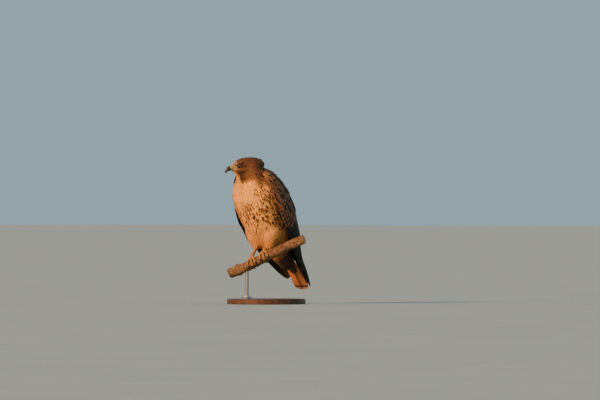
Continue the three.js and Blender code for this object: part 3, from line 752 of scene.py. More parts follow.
def wing_core(sign):
    """The flesh of the folded wing, as a closed plate for the skin"""
    cols, rows = 15, 20
    u, v = (part.ravel() for part in np.meshgrid(np.linspace(0, 1, cols), np.linspace(0, 1, rows)))
    t = CORE_START + (CORE_END - CORE_START) * v
    back = 20 + (7 - 20) * np.minimum(1, 2 * v)
    front = 84 + (103 - 84) * np.minimum(1, 3 * v)
    degrees = back + (front - back) * u
    edge = np.minimum(1, np.minimum(np.minimum(u * 6, (1 - u) * 6), v * 6))
    surface = wing_skin(sign, t, degrees)
    out = wing_out(sign, t, degrees)
    top = surface + out * (core_lift(t) * edge - 2 * (1 - edge))[:, None]
    low = surface - out * (15 - 11.5 * np.maximum(0, (v - 0.45) / 0.55))[:, None]
    grid = np.arange(2 * rows * cols).reshape(2, rows, cols)
    sheets = grid[0], grid[1, ::-1], grid[:, :, 0], grid[::-1, :, -1], grid[::-1, 0], grid[:, -1]
    return to_world(np.vstack([top, low])), [face for sheet in sheets for face in quads(sheet)]


# Skin: one closed surface round the flesh and the wings' cores, sunk by the depth of the coat
FLESH = ("head", "neck", "torso", "leg_left", "leg_right")
TRUNK_TREE = tree_of(*(NODES[name].data for name in FLESH))
WING_TREE = tree_of(NODES["wing_left"].data, NODES["wing_right"].data)


def keep_largest(mesh):
    """Leaves out the closed pockets inside a remeshed surface"""
    bm = bmesh.new()
    bm.from_mesh(mesh)
    left = set(bm.verts)
    best = set()
    while left:
        edge = {left.pop()}
        group = set(edge)
        while edge:
            edge = {e.other_vert(v) for v in edge for e in v.link_edges} - group
            group |= edge
        left -= group
        best = max(best, group, key=len)
    bmesh.ops.delete(bm, geom=[v for v in bm.verts if v not in best], context="VERTS")
    bm.to_mesh(mesh)
    bm.free()


def coat_depth(p):
    """How far the coat stands over the skin, in millimetres: least on the face and at the feet"""
    depth = 1.1 + 2.4 * smooth(30, 100, from_bill(p))
    return depth - 1.4 * (1 - smooth(30, 60, p[:, 2])) * (p[:, 1] < 60)


def off_trunk(p):
    """Which places are on the wings' own flesh, clear of the body's"""
    return np.array([TRUNK_TREE.find_nearest(Vector(q))[3] > 4.2 * MM for q in to_world(p)])


def unwrap(piece):
    bpy.context.view_layer.objects.active = piece
    piece.select_set(True)
    bpy.ops.object.mode_set(mode="EDIT")
    bpy.ops.mesh.select_all(action="SELECT")
    bpy.ops.uv.smart_project(angle_limit=math.radians(70), island_margin=0.004)
    bpy.ops.object.mode_set(mode="OBJECT")
    piece.data.uv_layers[0].name = "OFBake"


def make_skin():
    bm = solids(*FLESH)
    for sign in SIDES.values():
        verts, faces = wing_core(sign)
        made = [bm.verts.new(v) for v in verts]
        core = [bm.faces.new([made[i] for i in face]) for face in faces]
        bmesh.ops.recalc_face_normals(bm, faces=core)
    piece = remeshed("skin", bm, SKIN_VOXEL, 5)
    mesh = piece.data
    keep_largest(mesh)
    outer = from_world(read(mesh, "co"))
    sunk = outer - read(mesh, "normal") * coat_depth(outer)[:, None]
    mesh.vertices.foreach_set("co", to_world(sunk).ravel())
    mesh.update()
    unwrap(piece)
    tint, ink, marks = plumage(sunk)
    tint[off_trunk(sunk)] = MANTLE
    streaky = marks[:, :1] * 0.3
    store(mesh, "tint", "FLOAT_COLOR", (tint * (1 - streaky) + ink * streaky) * 0.8)
    return dress(piece, down_material(), FLESH)


# Roots of the body's feathers, scattered evenly with the spacing each region asks for
def feather_size(p):
    """Length of the feathers at a place"""
    far, z = from_bill(p), p[:, 2]
    size = np.interp(far, [5, 16, 40, 70, 95, 130, 170], [4, 6, 8.4, 12, 16, 20, 24])
    size = np.where(far > 150, np.interp(z, [0, 100, 200, 260], [27, 29, 25, 20]), size)
    leg_far, _, _ = nearest_on(LEG, p * side_of(p))
    on_leg = (leg_far < 38) & (z < 96) & (p[:, 1] < 60)
    return np.where(on_leg, np.interp(z, [22, 45, 70, 96], [8, 13, 19, 25]), size)


def thin_out(places, gaps, cell=6.0):
    """The places that keep their own gap from all kept before them"""
    kept = []
    grid = {}
    for i, (p, gap) in enumerate(zip(places, gaps)):
        a, b, c = (int(v) for v in np.floor(p / cell))
        span = range(-int(gap // cell) - 1, int(gap // cell) + 2)
        close = [j for x in span for y in span for z in span for j in grid.get((a + x, b + y, c + z), ())]
        if close and ((places[close] - p) ** 2).sum(axis=1).min() < gap * gap:
            continue
        grid.setdefault((a, b, c), []).append(i)
        kept.append(i)
    return kept


def scatter(mesh, count):
    """Seeded roots on the mesh: places, normals and their places on the map"""
    mesh.calc_loop_triangles()
    shape = (len(mesh.loop_triangles), 3)
    tris, loops = np.empty(shape[0] * 3, int), np.empty(shape[0] * 3, int)
    mesh.loop_triangles.foreach_get("vertices", tris)
    mesh.loop_triangles.foreach_get("loops", loops)
    tris, loops = tris.reshape(shape), loops.reshape(shape)
    uv = np.empty(len(mesh.loops) * 2)
    mesh.uv_layers["OFBake"].data.foreach_get("uv", uv)
    corner = from_world(read(mesh, "co"))[tris]
    middle = corner.mean(axis=1)
    area = np.linalg.norm(np.cross(corner[:, 1] - corner[:, 0], corner[:, 2] - corner[:, 0]), axis=1) / 2
    weight = np.interp(from_bill(middle), [60, 140], [1.6, 1]) * area / feather_size(middle) ** 2
    pick = rng.choice(len(tris), size=count, p=weight / weight.sum())
    a, b = rng.random((2, count, 1))
    folded = a + b > 1
    a, b = np.where(folded, 1 - a, a), np.where(folded, 1 - b, b)
    place, normal, where = (
        v[pick, 0] * (1 - a - b) + v[pick, 1] * a + v[pick, 2] * b
        for v in (corner, read(mesh, "normal")[tris], uv.reshape(-1, 2)[loops])
    )
    gaps = feather_size(place) * np.interp(from_bill(place), [60, 140], [0.15, 0.19])
    kept = thin_out(place, gaps)
    return place[kept], unit(normal)[kept], where[kept]


# Stations of the mouth's corner and of the brow's ridge: a place in the head and its reaches
MOUTH = [
    ([7.6, -41, -0.6], [1, 1, 1]), ([10.6, -36.5, -0.9], [1, 1.1, 1.1]),
    ([13.6, -32.5, -2], [0.9, 1, 1]), ([15.8, -29.5, -3], [0.5, 0.6, 0.6]),
]
BROW = [
    ([15.5, -34, 10.3], [0.8, 0.8, 0.8]), ([21.3, -29.5, 13.2], [1.7, 1.1, 1.7]),
    ([25.4, -23, 15.0], [2.3, 1.2, 2.0]), ([27.2, -15, 15.6], [2.2, 1.2, 1.9]),
    ([27.4, -7, 14.2], [1.0, 0.8, 1.0]),
]


def bare_places(p):
    """Eyes, corners of the mouth and bill, where no feather grows"""
    h = in_head(p)
    folded = h * side_of(h)
    eye_gap = np.linalg.norm(folded - EYE_AT, axis=1)
    mouth = spline([place for place, _ in MOUTH], np.linspace(0, 1, 20))
    mouth_gap = np.linalg.norm(folded[:, None] - mouth[None], axis=2).min(axis=1)
    bill = ((h[:, 1] < -38) & (h[:, 2] > -7)) | (h[:, 1] < -43)
    return (eye_gap < EYE_RADIUS + 0.8) | (mouth_gap < 1.0) | bill


def covered(p, n):
    """Whether a wing lies over this place"""
    a = unit(np.cross(n, [0.3, 0.2, 0.9]))
    b = np.cross(n, a)
    start = Vector(to_world(p))
    ways = [n] + [unit(n + 1.3 * lean) for lean in (a, -a, b, -b)]
    return all(WING_TREE.ray_cast(start, Vector(way), 26 * MM)[0] is not None for way in ways)


def walk(tree, roots, root_normals, lengths, rows):
    """Each feather's spine over the skin from its root: places, normals and ways ahead"""
    at = np.empty((len(roots), rows, 3))
    up = np.empty_like(at)
    ahead = np.empty_like(at)
    here, n = roots.copy(), root_normals.copy()
    sway = np.radians(rng.normal(0, 7, len(roots)))[:, None]
    for row in range(rows):
        way = lie(here, n)
        way = way * np.cos(sway) + np.cross(n, way) * np.sin(sway)
        at[:, row], up[:, row], ahead[:, row] = here, n, way
        step = here + way * (lengths / (rows - 1))[:, None]
        found = [tree.find_nearest(Vector(q))[:2] for q in to_world(step)]
        here = from_world(np.array([hit for hit, _ in found]))
        n = unit(np.array([normal for _, normal in found]) * 0.7 + up[:, row] * 0.3)
    return at, up, ahead


BODY_ROWS = np.array([0, 0.22, 0.45, 0.68, 0.87, 1])
BODY_WIDTHS = np.array([0.3, 0.8, 1, 0.9, 0.6, 0.12])
SEEN_ROW = 3


def make_body_feathers(skin):
    roots, root_normals, root_uv = scatter(skin.data, ROOTS_TRIED)
    under_wing = np.array([covered(p, n) for p, n in zip(roots, root_normals)])
    keep = ~bare_places(roots) & ~under_wing & ~off_trunk(roots)
    roots, root_normals, root_uv = roots[keep], root_normals[keep], root_uv[keep]
    n = len(roots)
    lengths = feather_size(roots) * (1 + 0.1 * rng.normal(size=n))
    at, up, ahead = walk(tree_of(skin.data), roots, root_normals, lengths, len(BODY_ROWS))

    # tips rise over the feathers behind them, more so under the chin
    far = from_bill(roots)
    h = in_head(roots)
    chin = (np.abs(h[:, 0]) < 15) & (h[:, 2] < -14) & (h[:, 1] < 20)
    lift = coat_depth(roots)[:, None] * (0.1 + 1.25 * BODY_ROWS**0.8) * (1 + 0.12 * rng.normal(size=(n, 1)))
    lift = lift + 2.4 * chin[:, None] * BODY_ROWS + 0.02 * lengths[:, None] * BODY_ROWS**2
    at = at + up * lift[..., None]
    roll = np.radians(rng.normal(0, 5, n))[:, None, None]
    across = unit(np.cross(ahead, up))
    across = unit(across * np.cos(roll) + up * np.sin(roll))
    out = unit(np.cross(across, np.gradient(at, axis=1)))

    # a streaked feather is wider and lies over its plain neighbours
    tint, ink, marks = plumage(at[:, SEEN_ROW])
    tint = stray(tint, 0.05)
    marks[:, 0] = (rng.random(n) < 0.5 * marks[:, 0]) * (0.85 + 0.15 * rng.random(n))
    over = ((marks[:, 0] > 0) & (far > 90))[:, None]
    at = at + up * (0.9 * over * smooth(0.2, 0.7, BODY_ROWS))[..., None]
    slim = np.interp(far, [10, 60, 120, 170], [0.13, 0.13, 0.18, 0.22])[:, None]
    half = lengths[:, None] * slim * (1 + 0.5 * over) * BODY_WIDTHS * (1 + 0.08 * rng.normal(size=(n, 1)))

    face, z = far < 62, roots[:, 2]
    for name, chosen, material, slot in (
        ("face_feathers", face, FINE, "feathers_head"),
        ("neck_feathers", ~face & (z > 215), BODY, "feathers_head"),
        ("breast_feathers", ~face & (z <= 215) & (z > 110), BODY, "feathers_breast"),
        ("belly_feathers", ~face & (z <= 110), BODY, "feathers_leg"),
    ):
        vanes = Vanes(at[chosen], across[chosen], out[chosen], half[chosen], BODY_ROWS)
        feather_piece(name, vanes, tint[chosen], ink[chosen], marks[chosen], root_uv[chosen], material)


# Wings: tiers from the primaries up, each a row of shingled vanes. Roots and tips are (share, degrees) at the
# back and at the front of the tier, rise is how far the tips stand over the flesh, and arch how much further
# the middle ones reach.
Tier = namedtuple("Tier", "count root tip width rise look arch", defaults=[0])
TIERS = {
    "primaries": Tier(12, ((0.43, 12), (0.43, 95)), ((0.85, 2), (1, 83)), 28, 5.0, "flight", 0.14),
    "secondaries": Tier(13, ((0.34, 4), (0.34, 99)), ((0.76, 4), (0.62, 95)), 29, 5.2, "flight"),
    "greater_coverts": Tier(17, ((0.25, 4), (0.25, 100)), ((0.55, 4), (0.47, 101)), 23, 5.0, "greater"),
    "median_coverts": Tier(19, ((0.18, 8), (0.18, 101)), ((0.43, 8), (0.37, 102)), 20, 5.2, "covert"),
    "lower_coverts": Tier(20, ((0.13, 9), (0.13, 100)), ((0.335, 8), (0.295, 101)), 18, 5.3, "covert"),
    "middle_coverts": Tier(20, ((0.09, 10), (0.09, 98)), ((0.26, 9), (0.235, 100)), 17, 5.4, "small"),
    "upper_coverts": Tier(19, ((0.06, 12), (0.06, 95)), ((0.2, 10), (0.18, 98)), 16, 5.5, "small"),
    "wrist_coverts": Tier(17, ((0.03, 15), (0.03, 92)), ((0.145, 11), (0.13, 95)), 16, 5.5, "small"),
    "shoulder_coverts": Tier(15, ((0.005, 18), (0.005, 88)), ((0.095, 13), (0.085, 92)), 16, 5.4, "small"),
    "long_scapulars": Tier(6, ((0.14, 3), (0.11, 44)), ((0.5, 4), (0.41, 52)), 27, 7.2, "scapular"),
    "middle_scapulars": Tier(7, ((0.08, 3), (0.06, 46)), ((0.37, 4), (0.3, 54)), 25, 7.8, "scapular"),
    "short_scapulars": Tier(7, ((0.03, 3), (0.02, 48)), ((0.25, 4), (0.2, 56)), 22, 8.2, "scapular"),
    "top_scapulars": Tier(7, ((0.0, 3), (0.0, 52)), ((0.15, 4), (0.12, 60)), 20, 8.2, "scapular"),
}
# Colour, marks (streak, bars, pale edge), rows along the feather and how much it strays
Look = namedtuple("Look", "colour marks rows stray")
LOOKS = {
    # flight feathers take the dark flight colour, which also holds painted shade
    "flight": Look(FLIGHT_DARK_AND_SHADE, (0, 0.45, 0.1), 18, 0.4),
    "greater": Look(COVERT * 0.7, (0, 0.4, 0.35), 14, 1.0),
    "covert": Look(MANTLE, (0, 0.3, 0.5), 11, 1.3),
    "small": Look(MANTLE * 1.05, (0, 0.1, 0.45), 9, 1.5),
    "scapular": Look(COVERT * 0.9, (0, 0.6, 0.5), 12, 1.6),
}
# how far each wing's tip reaches
TIP_REACH = {1: 1.0, -1: 0.94}
# past this share of the wing, tips are the long primaries'
LONG_TIP = 0.8
SHINGLE = 0.07
# degrees by which the right wing's front edge stands further forward half way down
FAR_EDGE = 13


def wing_tier(sign, tier):
    look = LOOKS[tier.look]
    s = rows_along(look.rows)
    feathers = []
    for i in range(tier.count):
        share = i / (tier.count - 1)
        root = [a + (b - a) * share for a, b in zip(*tier.root)]
        tip = [a + (b - a) * share for a, b in zip(*tier.tip)]
        arched = min(1, tip[0] + 4 * tier.arch * share * (1 - share))
        tip[0] = arched * (TIP_REACH[sign] if tip[0] > LONG_TIP else 1)
        uneven = (0.009 + 0.011 * (tip[0] > 0.36)) * look.stray * np.clip(rng.normal(), -1.5, 1.5)
        tip[0] = min(1, tip[0] + uneven * (tip[0] < LONG_TIP))
        tip[1] += 0.9 * look.stray * rng.normal() * (0.05 < share)
        if sign < 0 and tier.look in ("flight", "greater"):
            root[1] += FAR_EDGE * share**3
            tip[1] += FAR_EDGE * share**3 * (tip[0] < LONG_TIP)
        t = root[0] + (tip[0] - root[0]) * s
        degrees = root[1] + (tip[1] - root[1]) * s
        normal = wing_out(sign, t, degrees)
        tip_rise = core_lift(tip[0]) + tier.rise * (0.5 if tip[0] > LONG_TIP else 1)
        tip_rise = tip_rise + 0.25 * look.stray * rng.normal()
        root_rise = core_lift(root[0]) - 2.2 + (tier.rise - 5) * 0.9
        place = wing_skin(sign, t, degrees) + normal * (root_rise * (1 - s) + tip_rise * s)[:, None]
        way = unit(np.gradient(place, axis=0))
        side = unit(np.cross(normal, way)) * -sign
        side = unit(side + normal * (SHINGLE + 0.02 * look.stray * rng.normal()))
        top = unit(np.cross(way, side))
        half = tier.width / 2 * vane_width(s) * (1 + 0.05 * rng.normal())
        feathers.append((place, side * sign, top * np.sign((top * normal).sum()), half))
    return stack(feathers, s)


def make_wing(side, sign):
    start = 0
    for name, tier in TIERS.items():
        vanes = wing_tier(sign, tier)
        look = LOOKS[tier.look]
        n = tier.count
        first, last = np.array(tier.tip)
        down, around = first[:, None] + (last - first)[:, None] * np.linspace(0, 1, n)
        front = smooth(38, 72, around + 9 * rng.normal(size=n)) * (tier.look != "flight")
        front = front * (1 - smooth(0.4, 0.6, down))
        pale = front * smooth(50, 75, around) * (1 - smooth(0.1, 0.2, down)) * 0.49
        dark = smooth(0.34, 0.56, down + 0.03 * rng.normal(size=n)) * 0.75
        tint = blend(blend(look.colour, FLIGHT_DARK_AND_SHADE * 1.3, dark), MOTTLED, front)
        tint = stray(blend(tint, BUFF * 0.6, pale), 0.05 + 0.05 * look.stray)
        marks = np.array(look.marks) + front[:, None] * [0.75, 0.2, 0.4]
        marks = np.clip(marks * (1 + 0.3 * look.stray * rng.normal(size=(n, 1))), 0, 1)
        replaced = ("wing_" + side,) if name == "primaries" else ()
        feather_piece(
            f"{name}_{side}", vanes, tint, DARK_INK, marks, map_places(start, n, 16),
            FLIGHTS, WING_BUILD, replaced,
        )
        start += n


# Tail: twelve feathers in a closed fan, the middle pair on top
TAIL_PAIRS = 6
TAIL_LENGTH = 230
TAIL_SLOPE = math.radians(39)
TAIL_ALONG = np.array([0, math.sin(TAIL_SLOPE), -math.cos(TAIL_SLOPE)])
TAIL_UP = np.array([0, math.cos(TAIL_SLOPE), math.sin(TAIL_SLOPE)])
TAIL_ROOT = np.array([0, 74, 82.0])


def make_tail():
    s = rows_along(22)
    feathers = []
    for pair in range(TAIL_PAIRS):
        for sign in (1, -1):
            level = (2 * pair + (sign < 0)) * 0.83
            turn = Matrix.Rotation(-sign * math.radians(0.5) * (pair + 0.5), 3, Vector(TAIL_UP))
            way = np.array(turn @ Vector(TAIL_ALONG))
            root = TAIL_ROOT + SIDEWAYS * sign * 1.3 * (pair + 0.5) + TAIL_UP * (5 - level)
            reach = (TAIL_LENGTH - 0.25 * pair**2) * (0.22 + 0.78 * s)
            place = root + way * reach[:, None] - TAIL_UP * (5 * s**2)[:, None]
            across = np.tile(-np.cross(way, TAIL_UP), (len(s), 1))
            half = 13.6 * vane_width(s, 0.6, 0.93)
            feathers.append((place, across, np.tile(TAIL_UP, (len(s), 1)), half))
    n = len(feathers)
    upper = np.arange(2 * len(COLUMNS) - 2) < len(COLUMNS)
    tint = np.where(upper[:, None], TAIL_TOP, TAIL_UNDER) * np.ones((n, len(s), 1, 1))
    feather_piece(
        "tail_feathers", stack(feathers, s), tint, DARK_INK, (0, 0, 0.2), map_places(0, n, 8),
        tail_material(), TAIL_BUILD, ("tail",),
    )


# Coverts of the tail, under and over it: how many, roots and tips as (along, up) from the tail's root, how
# far to the side they spread, and their width
TAIL_TIERS = {
    "under_coverts": [
        (9, (48, -38), (104, -36), 25, 20), (9, (68, -36), (120, -29), 23, 20),
        (8, (84, -32), (134, -21), 20, 19), (7, (98, -25), (147, -13), 16, 18),
        (5, (108, -17), (158, -8), 11, 18),
    ],
    "over_coverts": [
        (6, (16, 17), (74, 14), 18, 20), (6, (36, 12), (94, 11), 16, 20), (6, (56, 8.5), (114, 8), 13, 19),
    ],
}


def make_tail_coverts(name, under):
    s = rows_along(10)
    feathers = []
    for count, root, tip, spread, width in TAIL_TIERS[name]:
        for i in range(count):
            x = spread * (2 * i / (count - 1) - 1) + rng.normal()
            bow = (x / 24) ** 2 * (11 if under else -4)
            along = root[0] + (tip[0] + 2.5 * rng.normal() - abs(x) * 0.35 - root[0]) * s
            up = root[1] + bow + (tip[1] + bow * 0.6 - root[1] - bow) * s + 0.3 * rng.normal()
            aside = (x * (1 - 0.25 * s))[:, None] * SIDEWAYS
            place = TAIL_ROOT + aside + along[:, None] * TAIL_ALONG + up[:, None] * TAIL_UP
            way = unit(np.gradient(place, axis=0))
            tilt = np.arctan2(x, 30) * (1 if under else -0.4)
            face = unit(TAIL_UP * (-1 if under else 1) * math.cos(tilt) + SIDEWAYS * math.sin(tilt))
            side = unit(unit(np.cross(way, face)) + 0.04 * rng.normal() * face)
            feathers.append((place, side, unit(np.cross(side, way)), width / 2 * vane_width(s, 0.2, 0.62)))
    n = len(feathers)
    # under coverts carry painted shadow of the branch; over coverts keep their own mottled brown
    tint = stray(np.tile(VENT_IN_PAINTED_SHADOW if under else MOTTLED, (n, 1)), 0.1)
    feather_piece(
        name, stack(feathers, s), tint, INK if under else DARK_INK, (0, 0.55, 0.5), map_places(0, n, 8),
        FLIGHTS, COVERT_BUILD,
    )


# Bill, mouth, brow, eyes and lids, all in the head's own frame
def sweep(stations, around=40, along=48, side=SIDEWAYS, blunt=0.12):
    """A closed loft through stations: a place and its reach to the side, up or forward, and down or back"""
    v = np.linspace(0, 1, along)
    centre = spline([place for place, _ in stations], v)
    size = spline([reach for _, reach in stations], v)
    to_end = np.minimum(1, np.minimum(v, 1 - v) / blunt)
    size = size * np.sqrt(np.clip(1 - (1 - to_end) ** 2, 0.004, 1))[:, None]
    back = unit(np.cross(side, unit(np.gradient(centre, axis=0))))
    turn = np.linspace(0, 2 * np.pi, around, endpoint=False)
    deep = np.where(np.cos(turn) > 0, size[:, 2:3], size[:, 1:2]) * np.cos(turn)
    verts = centre[:, None] + (np.sin(turn) * size[:, :1])[..., None] * side + deep[..., None] * back[:, None]
    grid = np.arange(along * around).reshape(along, around)
    return verts.reshape(-1, 3), quads(grid, True) + [grid[0, ::-1].tolist(), grid[-1].tolist()]


CERE = [
    ([0, -33, 7], [9, 7.6, 7]), ([0, -38, 7], [10.4, 8, 8.8]),
    ([0, -43, 6.4], [10, 7.6, 8.8]), ([0, -47, 5.2], [8.6, 6.6, 8]),
]
UPPER_BILL = [
    ([0, -39, 6.2], [8.6, 7, 7.6]), ([0, -46, 5.6], [8.3, 7, 7.8]), ([0, -53, 3], [6.6, 6.2, 7.4]),
    ([0, -58.4, -1.4], [4.6, 4.8, 5.8]), ([0, -61.4, -6.6], [2.8, 3.3, 3.4]),
    ([0, -62, -12.4], [1, 1.1, 1.1]),
]
LOWER_BILL = [
    ([0, -33, -2.2], [8.4, 5.4, 2]), ([0, -41, -2.2], [7.6, 5, 2]),
    ([0, -49.5, -2.6], [5.6, 4, 2]), ([0, -55.5, -3.2], [2.6, 2.3, 1.2]),
]
NOSTRIL_AT = np.array([9.2, -41.6, 9.0])
NOSTRIL_SIZE = np.array([3.5, 2.4, 1.5])
NOSTRIL_DEPTH = 1.8


def make_bill():
    h, faces = sweep(CERE)
    hole = smooth(0, 0.55, 1 - np.linalg.norm((h * side_of(h) - NOSTRIL_AT) / NOSTRIL_SIZE, axis=1))
    h = h - np.sign(h[:, :1]) * SIDEWAYS * (hole * NOSTRIL_DEPTH)[:, None]
    piece = new_piece("fine_cere", from_head(h), faces, WAXY, ("cere",))
    # the pale attribute here marks the nostrils, painted near-black as shade
    store(piece.data, "pale", "FLOAT", hole)
    for name, stations, pale in (("upper_bill", UPPER_BILL, 0.9), ("lower_bill", LOWER_BILL, 0.6)):
        h, faces = sweep(stations)
        piece = new_piece("fine_" + name, from_head(h), faces, HORN, (name,))
        store(piece.data, "pale", "FLOAT", smooth(-52, -42, h[:, 1]) * pale)


def make_ridges(side, sign):
    """The yellow corner of the mouth and the ridge of the brow"""
    ridges = ("gape", MOUTH, WAXY, "cere"), ("brow", BROW, LIDS, "feathers_head")
    for name, stations, material, slot in ridges:
        placed = [(np.array(place) * [sign, 1, 1], reach) for place, reach in stations]
        verts, faces = sweep(placed, 16, 26, unit([0.8 * sign, 0.5, 0.0]), 0.3)
        if sign < 0:
            faces = [face[::-1] for face in faces]
        piece = new_piece(f"{name}_{side}", from_head(verts), faces, material)
        store(piece.data, "pale", "FLOAT", np.full(len(verts), float(name == "brow")))


def make_eye(side, sign, material):
    """The eyeball, a little bulged ahead"""
    bm = bmesh.new()
    bmesh.ops.create_uvsphere(bm, u_segments=64, v_segments=40, radius=EYE_RADIUS)
    mesh = bpy.data.meshes.new("eye")
    bm.to_mesh(mesh)
    bm.free()
    ball = read(mesh, "co")
    facing = unit(ball) @ unit(EYE_LOOK * [sign, 1, 1])
    ball = ball * (1 + 0.05 * smooth(0.84, 1.0, facing))[:, None]
    mesh.vertices.foreach_set("co", to_world(from_head(ball + EYE_AT * [sign, 1, 1])).ravel())
    mesh.update()
    store(mesh, "look", "FLOAT", facing)
    dress(linked("fine_eye_" + side, mesh), material, ("eye_" + side,))


def make_lids(side, sign):
    """A ring with a hood over it, lying on the eyeball"""
    look = unit(EYE_LOOK * [sign, 1, 1])
    across = unit(np.cross(UPRIGHT, look))
    rise = unit(np.cross(look, across))
    ring, tube = 72, 14
    a = np.linspace(0, 2 * np.pi, ring, endpoint=False)[:, None]
    b = np.linspace(0, 2 * np.pi, tube, endpoint=False)
    hood = np.clip(np.sin(a), 0, 1)
    thick = 0.75 + 0.45 * hood
    radius = 7.3 - 1.1 * hood + 0.2 * np.cos(2 * a) + thick * np.cos(b)
    ahead = 5.6 + 1.6 * hood + thick * np.sin(b)
    parts = (radius * np.cos(a), across), (radius * np.sin(a), rise), (ahead, look)
    verts = sum(v[..., None] * way for v, way in parts)
    grid = np.arange(ring * tube).reshape(ring, tube)
    faces = quads(np.vstack([grid, grid[:1]]), True)
    placed = from_head(verts.reshape(-1, 3) + EYE_AT * [sign, 1, 1])
    new_piece("lids_" + side, placed, faces, LIDS)


# Perch, from the grip: a slightly bent branch with a knot, cut at both ends
PERCH_TURN = math.radians(20)
PERCH_SLOPE = math.radians(22.5)
LEVEL = math.cos(PERCH_SLOPE)
PERCH_ALONG = np.array([math.cos(PERCH_TURN) * LEVEL, math.sin(PERCH_TURN) * LEVEL, math.sin(PERCH_SLOPE)])
PERCH_FRONT = unit(np.cross(PERCH_ALONG, UPRIGHT))
PERCH_UP = np.cross(PERCH_FRONT, PERCH_ALONG)
PERCH_ENDS = -118.0, 172.0
PERCH_RADIUS = 16
KNOT_AT = -84


def perch_axis(along):
    along = np.asarray(along, float)[..., None]
    bend = (2.2 * np.sin(along / 46) + 0.00018 * along**2) * PERCH_UP
    return along * PERCH_ALONG + bend + 2 * np.sin(along / 61) * PERCH_FRONT


def round_perch(along, turn, distance):
    up = (np.cos(turn) * distance)[..., None] * PERCH_UP
    return perch_axis(along) + up + (np.sin(turn) * distance)[..., None] * PERCH_FRONT


def make_branch():
    rows, n = 240, 120
    along, turn = np.meshgrid(
        np.linspace(*PERCH_ENDS, rows), np.linspace(0, 2 * np.pi, n, endpoint=False), indexing="ij"
    )
    bark = np.stack([along / 34, np.cos(turn) * 1.5, np.sin(turn) * 1.5], axis=-1).reshape(-1, 3)
    rough = np.array([noise.fractal(Vector(q), 0.7, 2.1, 4) for q in bark]).reshape(along.shape)
    girth = PERCH_RADIUS + 3.2 * near(along, KNOT_AT, 8) - 0.006 * along
    girth = girth + 0.5 * np.sin(2 * turn + along / 19) + 0.35 * np.sin(3 * turn - along / 11)
    body = round_perch(along, turn, girth + rough * 0.55 - 0.15)
    centres = [perch_axis(end) for end in PERCH_ENDS]
    discs = [
        [centre + (rim - centre) * share for share in (0.985, 0.6, 0.25)]
        for centre, rim in zip(centres, (body[0], body[-1]))
    ]
    rings = np.array(discs[0][::-1] + list(body) + discs[1])
    verts = np.vstack([rings.reshape(-1, 3), centres])
    grid = np.arange(len(rings) * n).reshape(-1, n)
    faces = quads(grid, True)
    for rim, tip in ((grid[0], len(verts) - 2), (grid[-1], len(verts) - 1)):
        faces += np.stack([rim, np.roll(rim, -1), np.full(n, tip)], axis=1).tolist()
    piece = new_piece("branch", verts, faces, bark_material(), ("perch",))
    mesh = piece.data
    bm = bmesh.new()
    bm.from_mesh(mesh)
    bmesh.ops.recalc_face_normals(bm, faces=bm.faces)
    bm.to_mesh(mesh)
    bm.free()

    # along the branch, and from its bent axis
    local = verts - perch_axis(np.clip(verts @ PERCH_ALONG, *PERCH_ENDS))
    grain = np.stack([verts @ PERCH_ALONG, local @ PERCH_UP, local @ PERCH_FRONT], axis=1) * MM
    store(mesh, "grain", "FLOAT_VECTOR", grain)
    cut = np.ones(len(verts))
    cut[3 * n:(3 + rows) * n] = 0
    store(mesh, "cut", "FLOAT", cut)
    mesh.set_sharp_from_angle(angle=math.radians(50))


# Claws: how far each toe spreads, the angle round the perch where it ends, its thickness, and the claw's curl
TOES = {
    "inner": (14, 98, 5, 60),
    "middle": (0, 122, 5, 56),
    "outer": (-15, 104, 4.5, 52),
    "hind": (3, -88, 5.2, -66),
}
FOOT_SPREAD = 24
CLAW_ROOT = 3.7
CLAW_TIP = 0.7
CLAW_OVERLAP = 6


def make_foot(side, sign, material):
    foot = remeshed("scaled_foot_" + side, solids("foot_" + side), FOOT_VOXEL, 4)
    dress(foot, material, ("foot_" + side,))
    for name, (spread, to, thick, curl) in TOES.items():
        s = np.linspace(0, 1, 7)
        back = CLAW_OVERLAP * np.sign(to)
        turn = np.radians(to - back + (curl + back) * s)
        girth = (CLAW_ROOT + (CLAW_TIP - CLAW_ROOT) * s**0.85) * thick / 5
        away = PERCH_RADIUS + 5.2 + (2.6 - 5.2) * s + 3.4 * np.sin(np.pi * s)
        places = round_perch(np.full(len(s), float(sign * (FOOT_SPREAD - spread))), turn, away)
        stations = [(place, [g * 0.72, g, g]) for place, g in zip(places, girth)]
        verts, faces = sweep(stations, 24, 30, PERCH_ALONG)
        claw = f"claw_{name}_{side}"
        piece = new_piece("fine_" + claw, verts, faces, HORN, (claw,))
        store(piece.data, "pale", "FLOAT", np.zeros(len(verts)))


def make_stand():
    """The stand keeps its solids"""
    steel = steel_material()
    for name, material in (("stand_base", wood_material()), ("stand_rod", steel), ("stand_collar", steel)):
        NODES[name].data.materials.clear()
        NODES[name].data.materials.append(material)


make_body_feathers(make_skin())
for side, sign in SIDES.items():
    make_wing(side, sign)
make_tail()
make_tail_coverts("under_coverts", True)
make_tail_coverts("over_coverts", False)
make_bill()
for side, sign in SIDES.items():
    make_ridges(side, sign)
eye = eye_material()
for side, sign in SIDES.items():
    make_eye(side, sign, eye)
    make_lids(side, sign)
make_branch()
scaled = scaled_material()
for side, sign in SIDES.items():
    make_foot(side, sign, scaled)
make_stand()

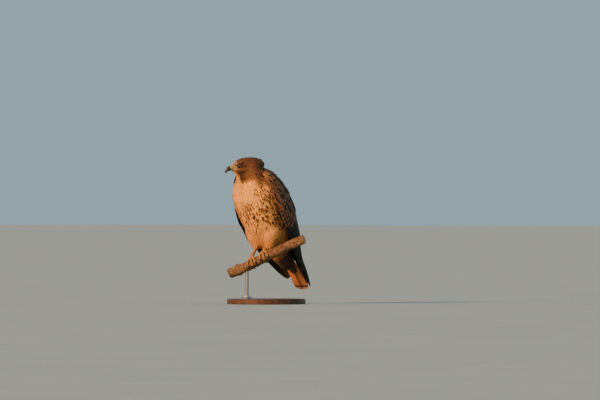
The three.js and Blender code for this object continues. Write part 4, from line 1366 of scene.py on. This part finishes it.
# Floor, light and camera, at the photo's angle and framing
AZIMUTH = math.radians(43)
RIGHT = Vector((math.cos(AZIMUTH), math.sin(AZIMUTH), 0))
BACK = Vector((math.sin(AZIMUTH), -math.cos(AZIMUTH), 0))
TARGET = Vector(GRIP) * MM + RIGHT * 0.132 + Vector((0, 0, 0.198))
FRAME_WIDTH = 1.98
LENS = 300
SENSOR = 22.5
FLOOR_REACH = 60
LAMP_HEIGHT = 0.34


def make_floor():
    r = FLOOR_REACH
    mesh = bpy.data.meshes.new("floor")
    mesh.from_pydata([(-r, -r, 0), (r, -r, 0), (r, r, 0), (-r, r, 0)], [], [(0, 1, 2, 3)])
    mesh.materials.append(floor_material())
    return linked("floor", mesh)


def make_light(name, towards, softness, strength, colour):
    data = bpy.data.lights.new(name, "SUN")
    data.energy = strength
    data.angle = math.radians(softness)
    data.color = colour
    lamp = linked(name, data)
    away = towards.normalized()
    lamp.location = Vector((0, 0, LAMP_HEIGHT)) + away * 3
    lamp.rotation_euler = away.to_track_quat("Z", "Y").to_euler()
    return lamp


def make_world():
    world = bpy.data.worlds.new("sky")
    world.use_nodes = True
    sky = world.node_tree.nodes["Background"]
    sky.inputs["Color"].default_value = (0.41, 0.575, 0.63, 1)
    sky.inputs["Strength"].default_value = 0.75
    bpy.context.scene.world = world


def make_camera():
    data = bpy.data.cameras.new("camera")
    data.lens = LENS
    data.sensor_width = SENSOR
    data.clip_end = 400
    camera = linked("camera", data)
    camera.location = TARGET + BACK * (FRAME_WIDTH * LENS / SENSOR)
    camera.rotation_euler = BACK.to_track_quat("Z", "Y").to_euler()
    bpy.context.scene.camera = camera
    return camera


make_world()
make_floor()
make_camera()
make_light("key", -RIGHT * 0.9 + BACK * 0.85 + Vector((0, 0, 0.5)), 14, 6.6, (1.0, 0.51, 0.21))
make_light("fill", RIGHT * 0.9 + BACK * 0.8 + Vector((0, 0, 0.5)), 50, 0.18, (0.86, 0.93, 1.0))
make_light("rim", RIGHT * 0.5 - BACK * 0.9 + Vector((0, 0, 0.9)), 30, 0.2, (0.95, 0.97, 1.0))

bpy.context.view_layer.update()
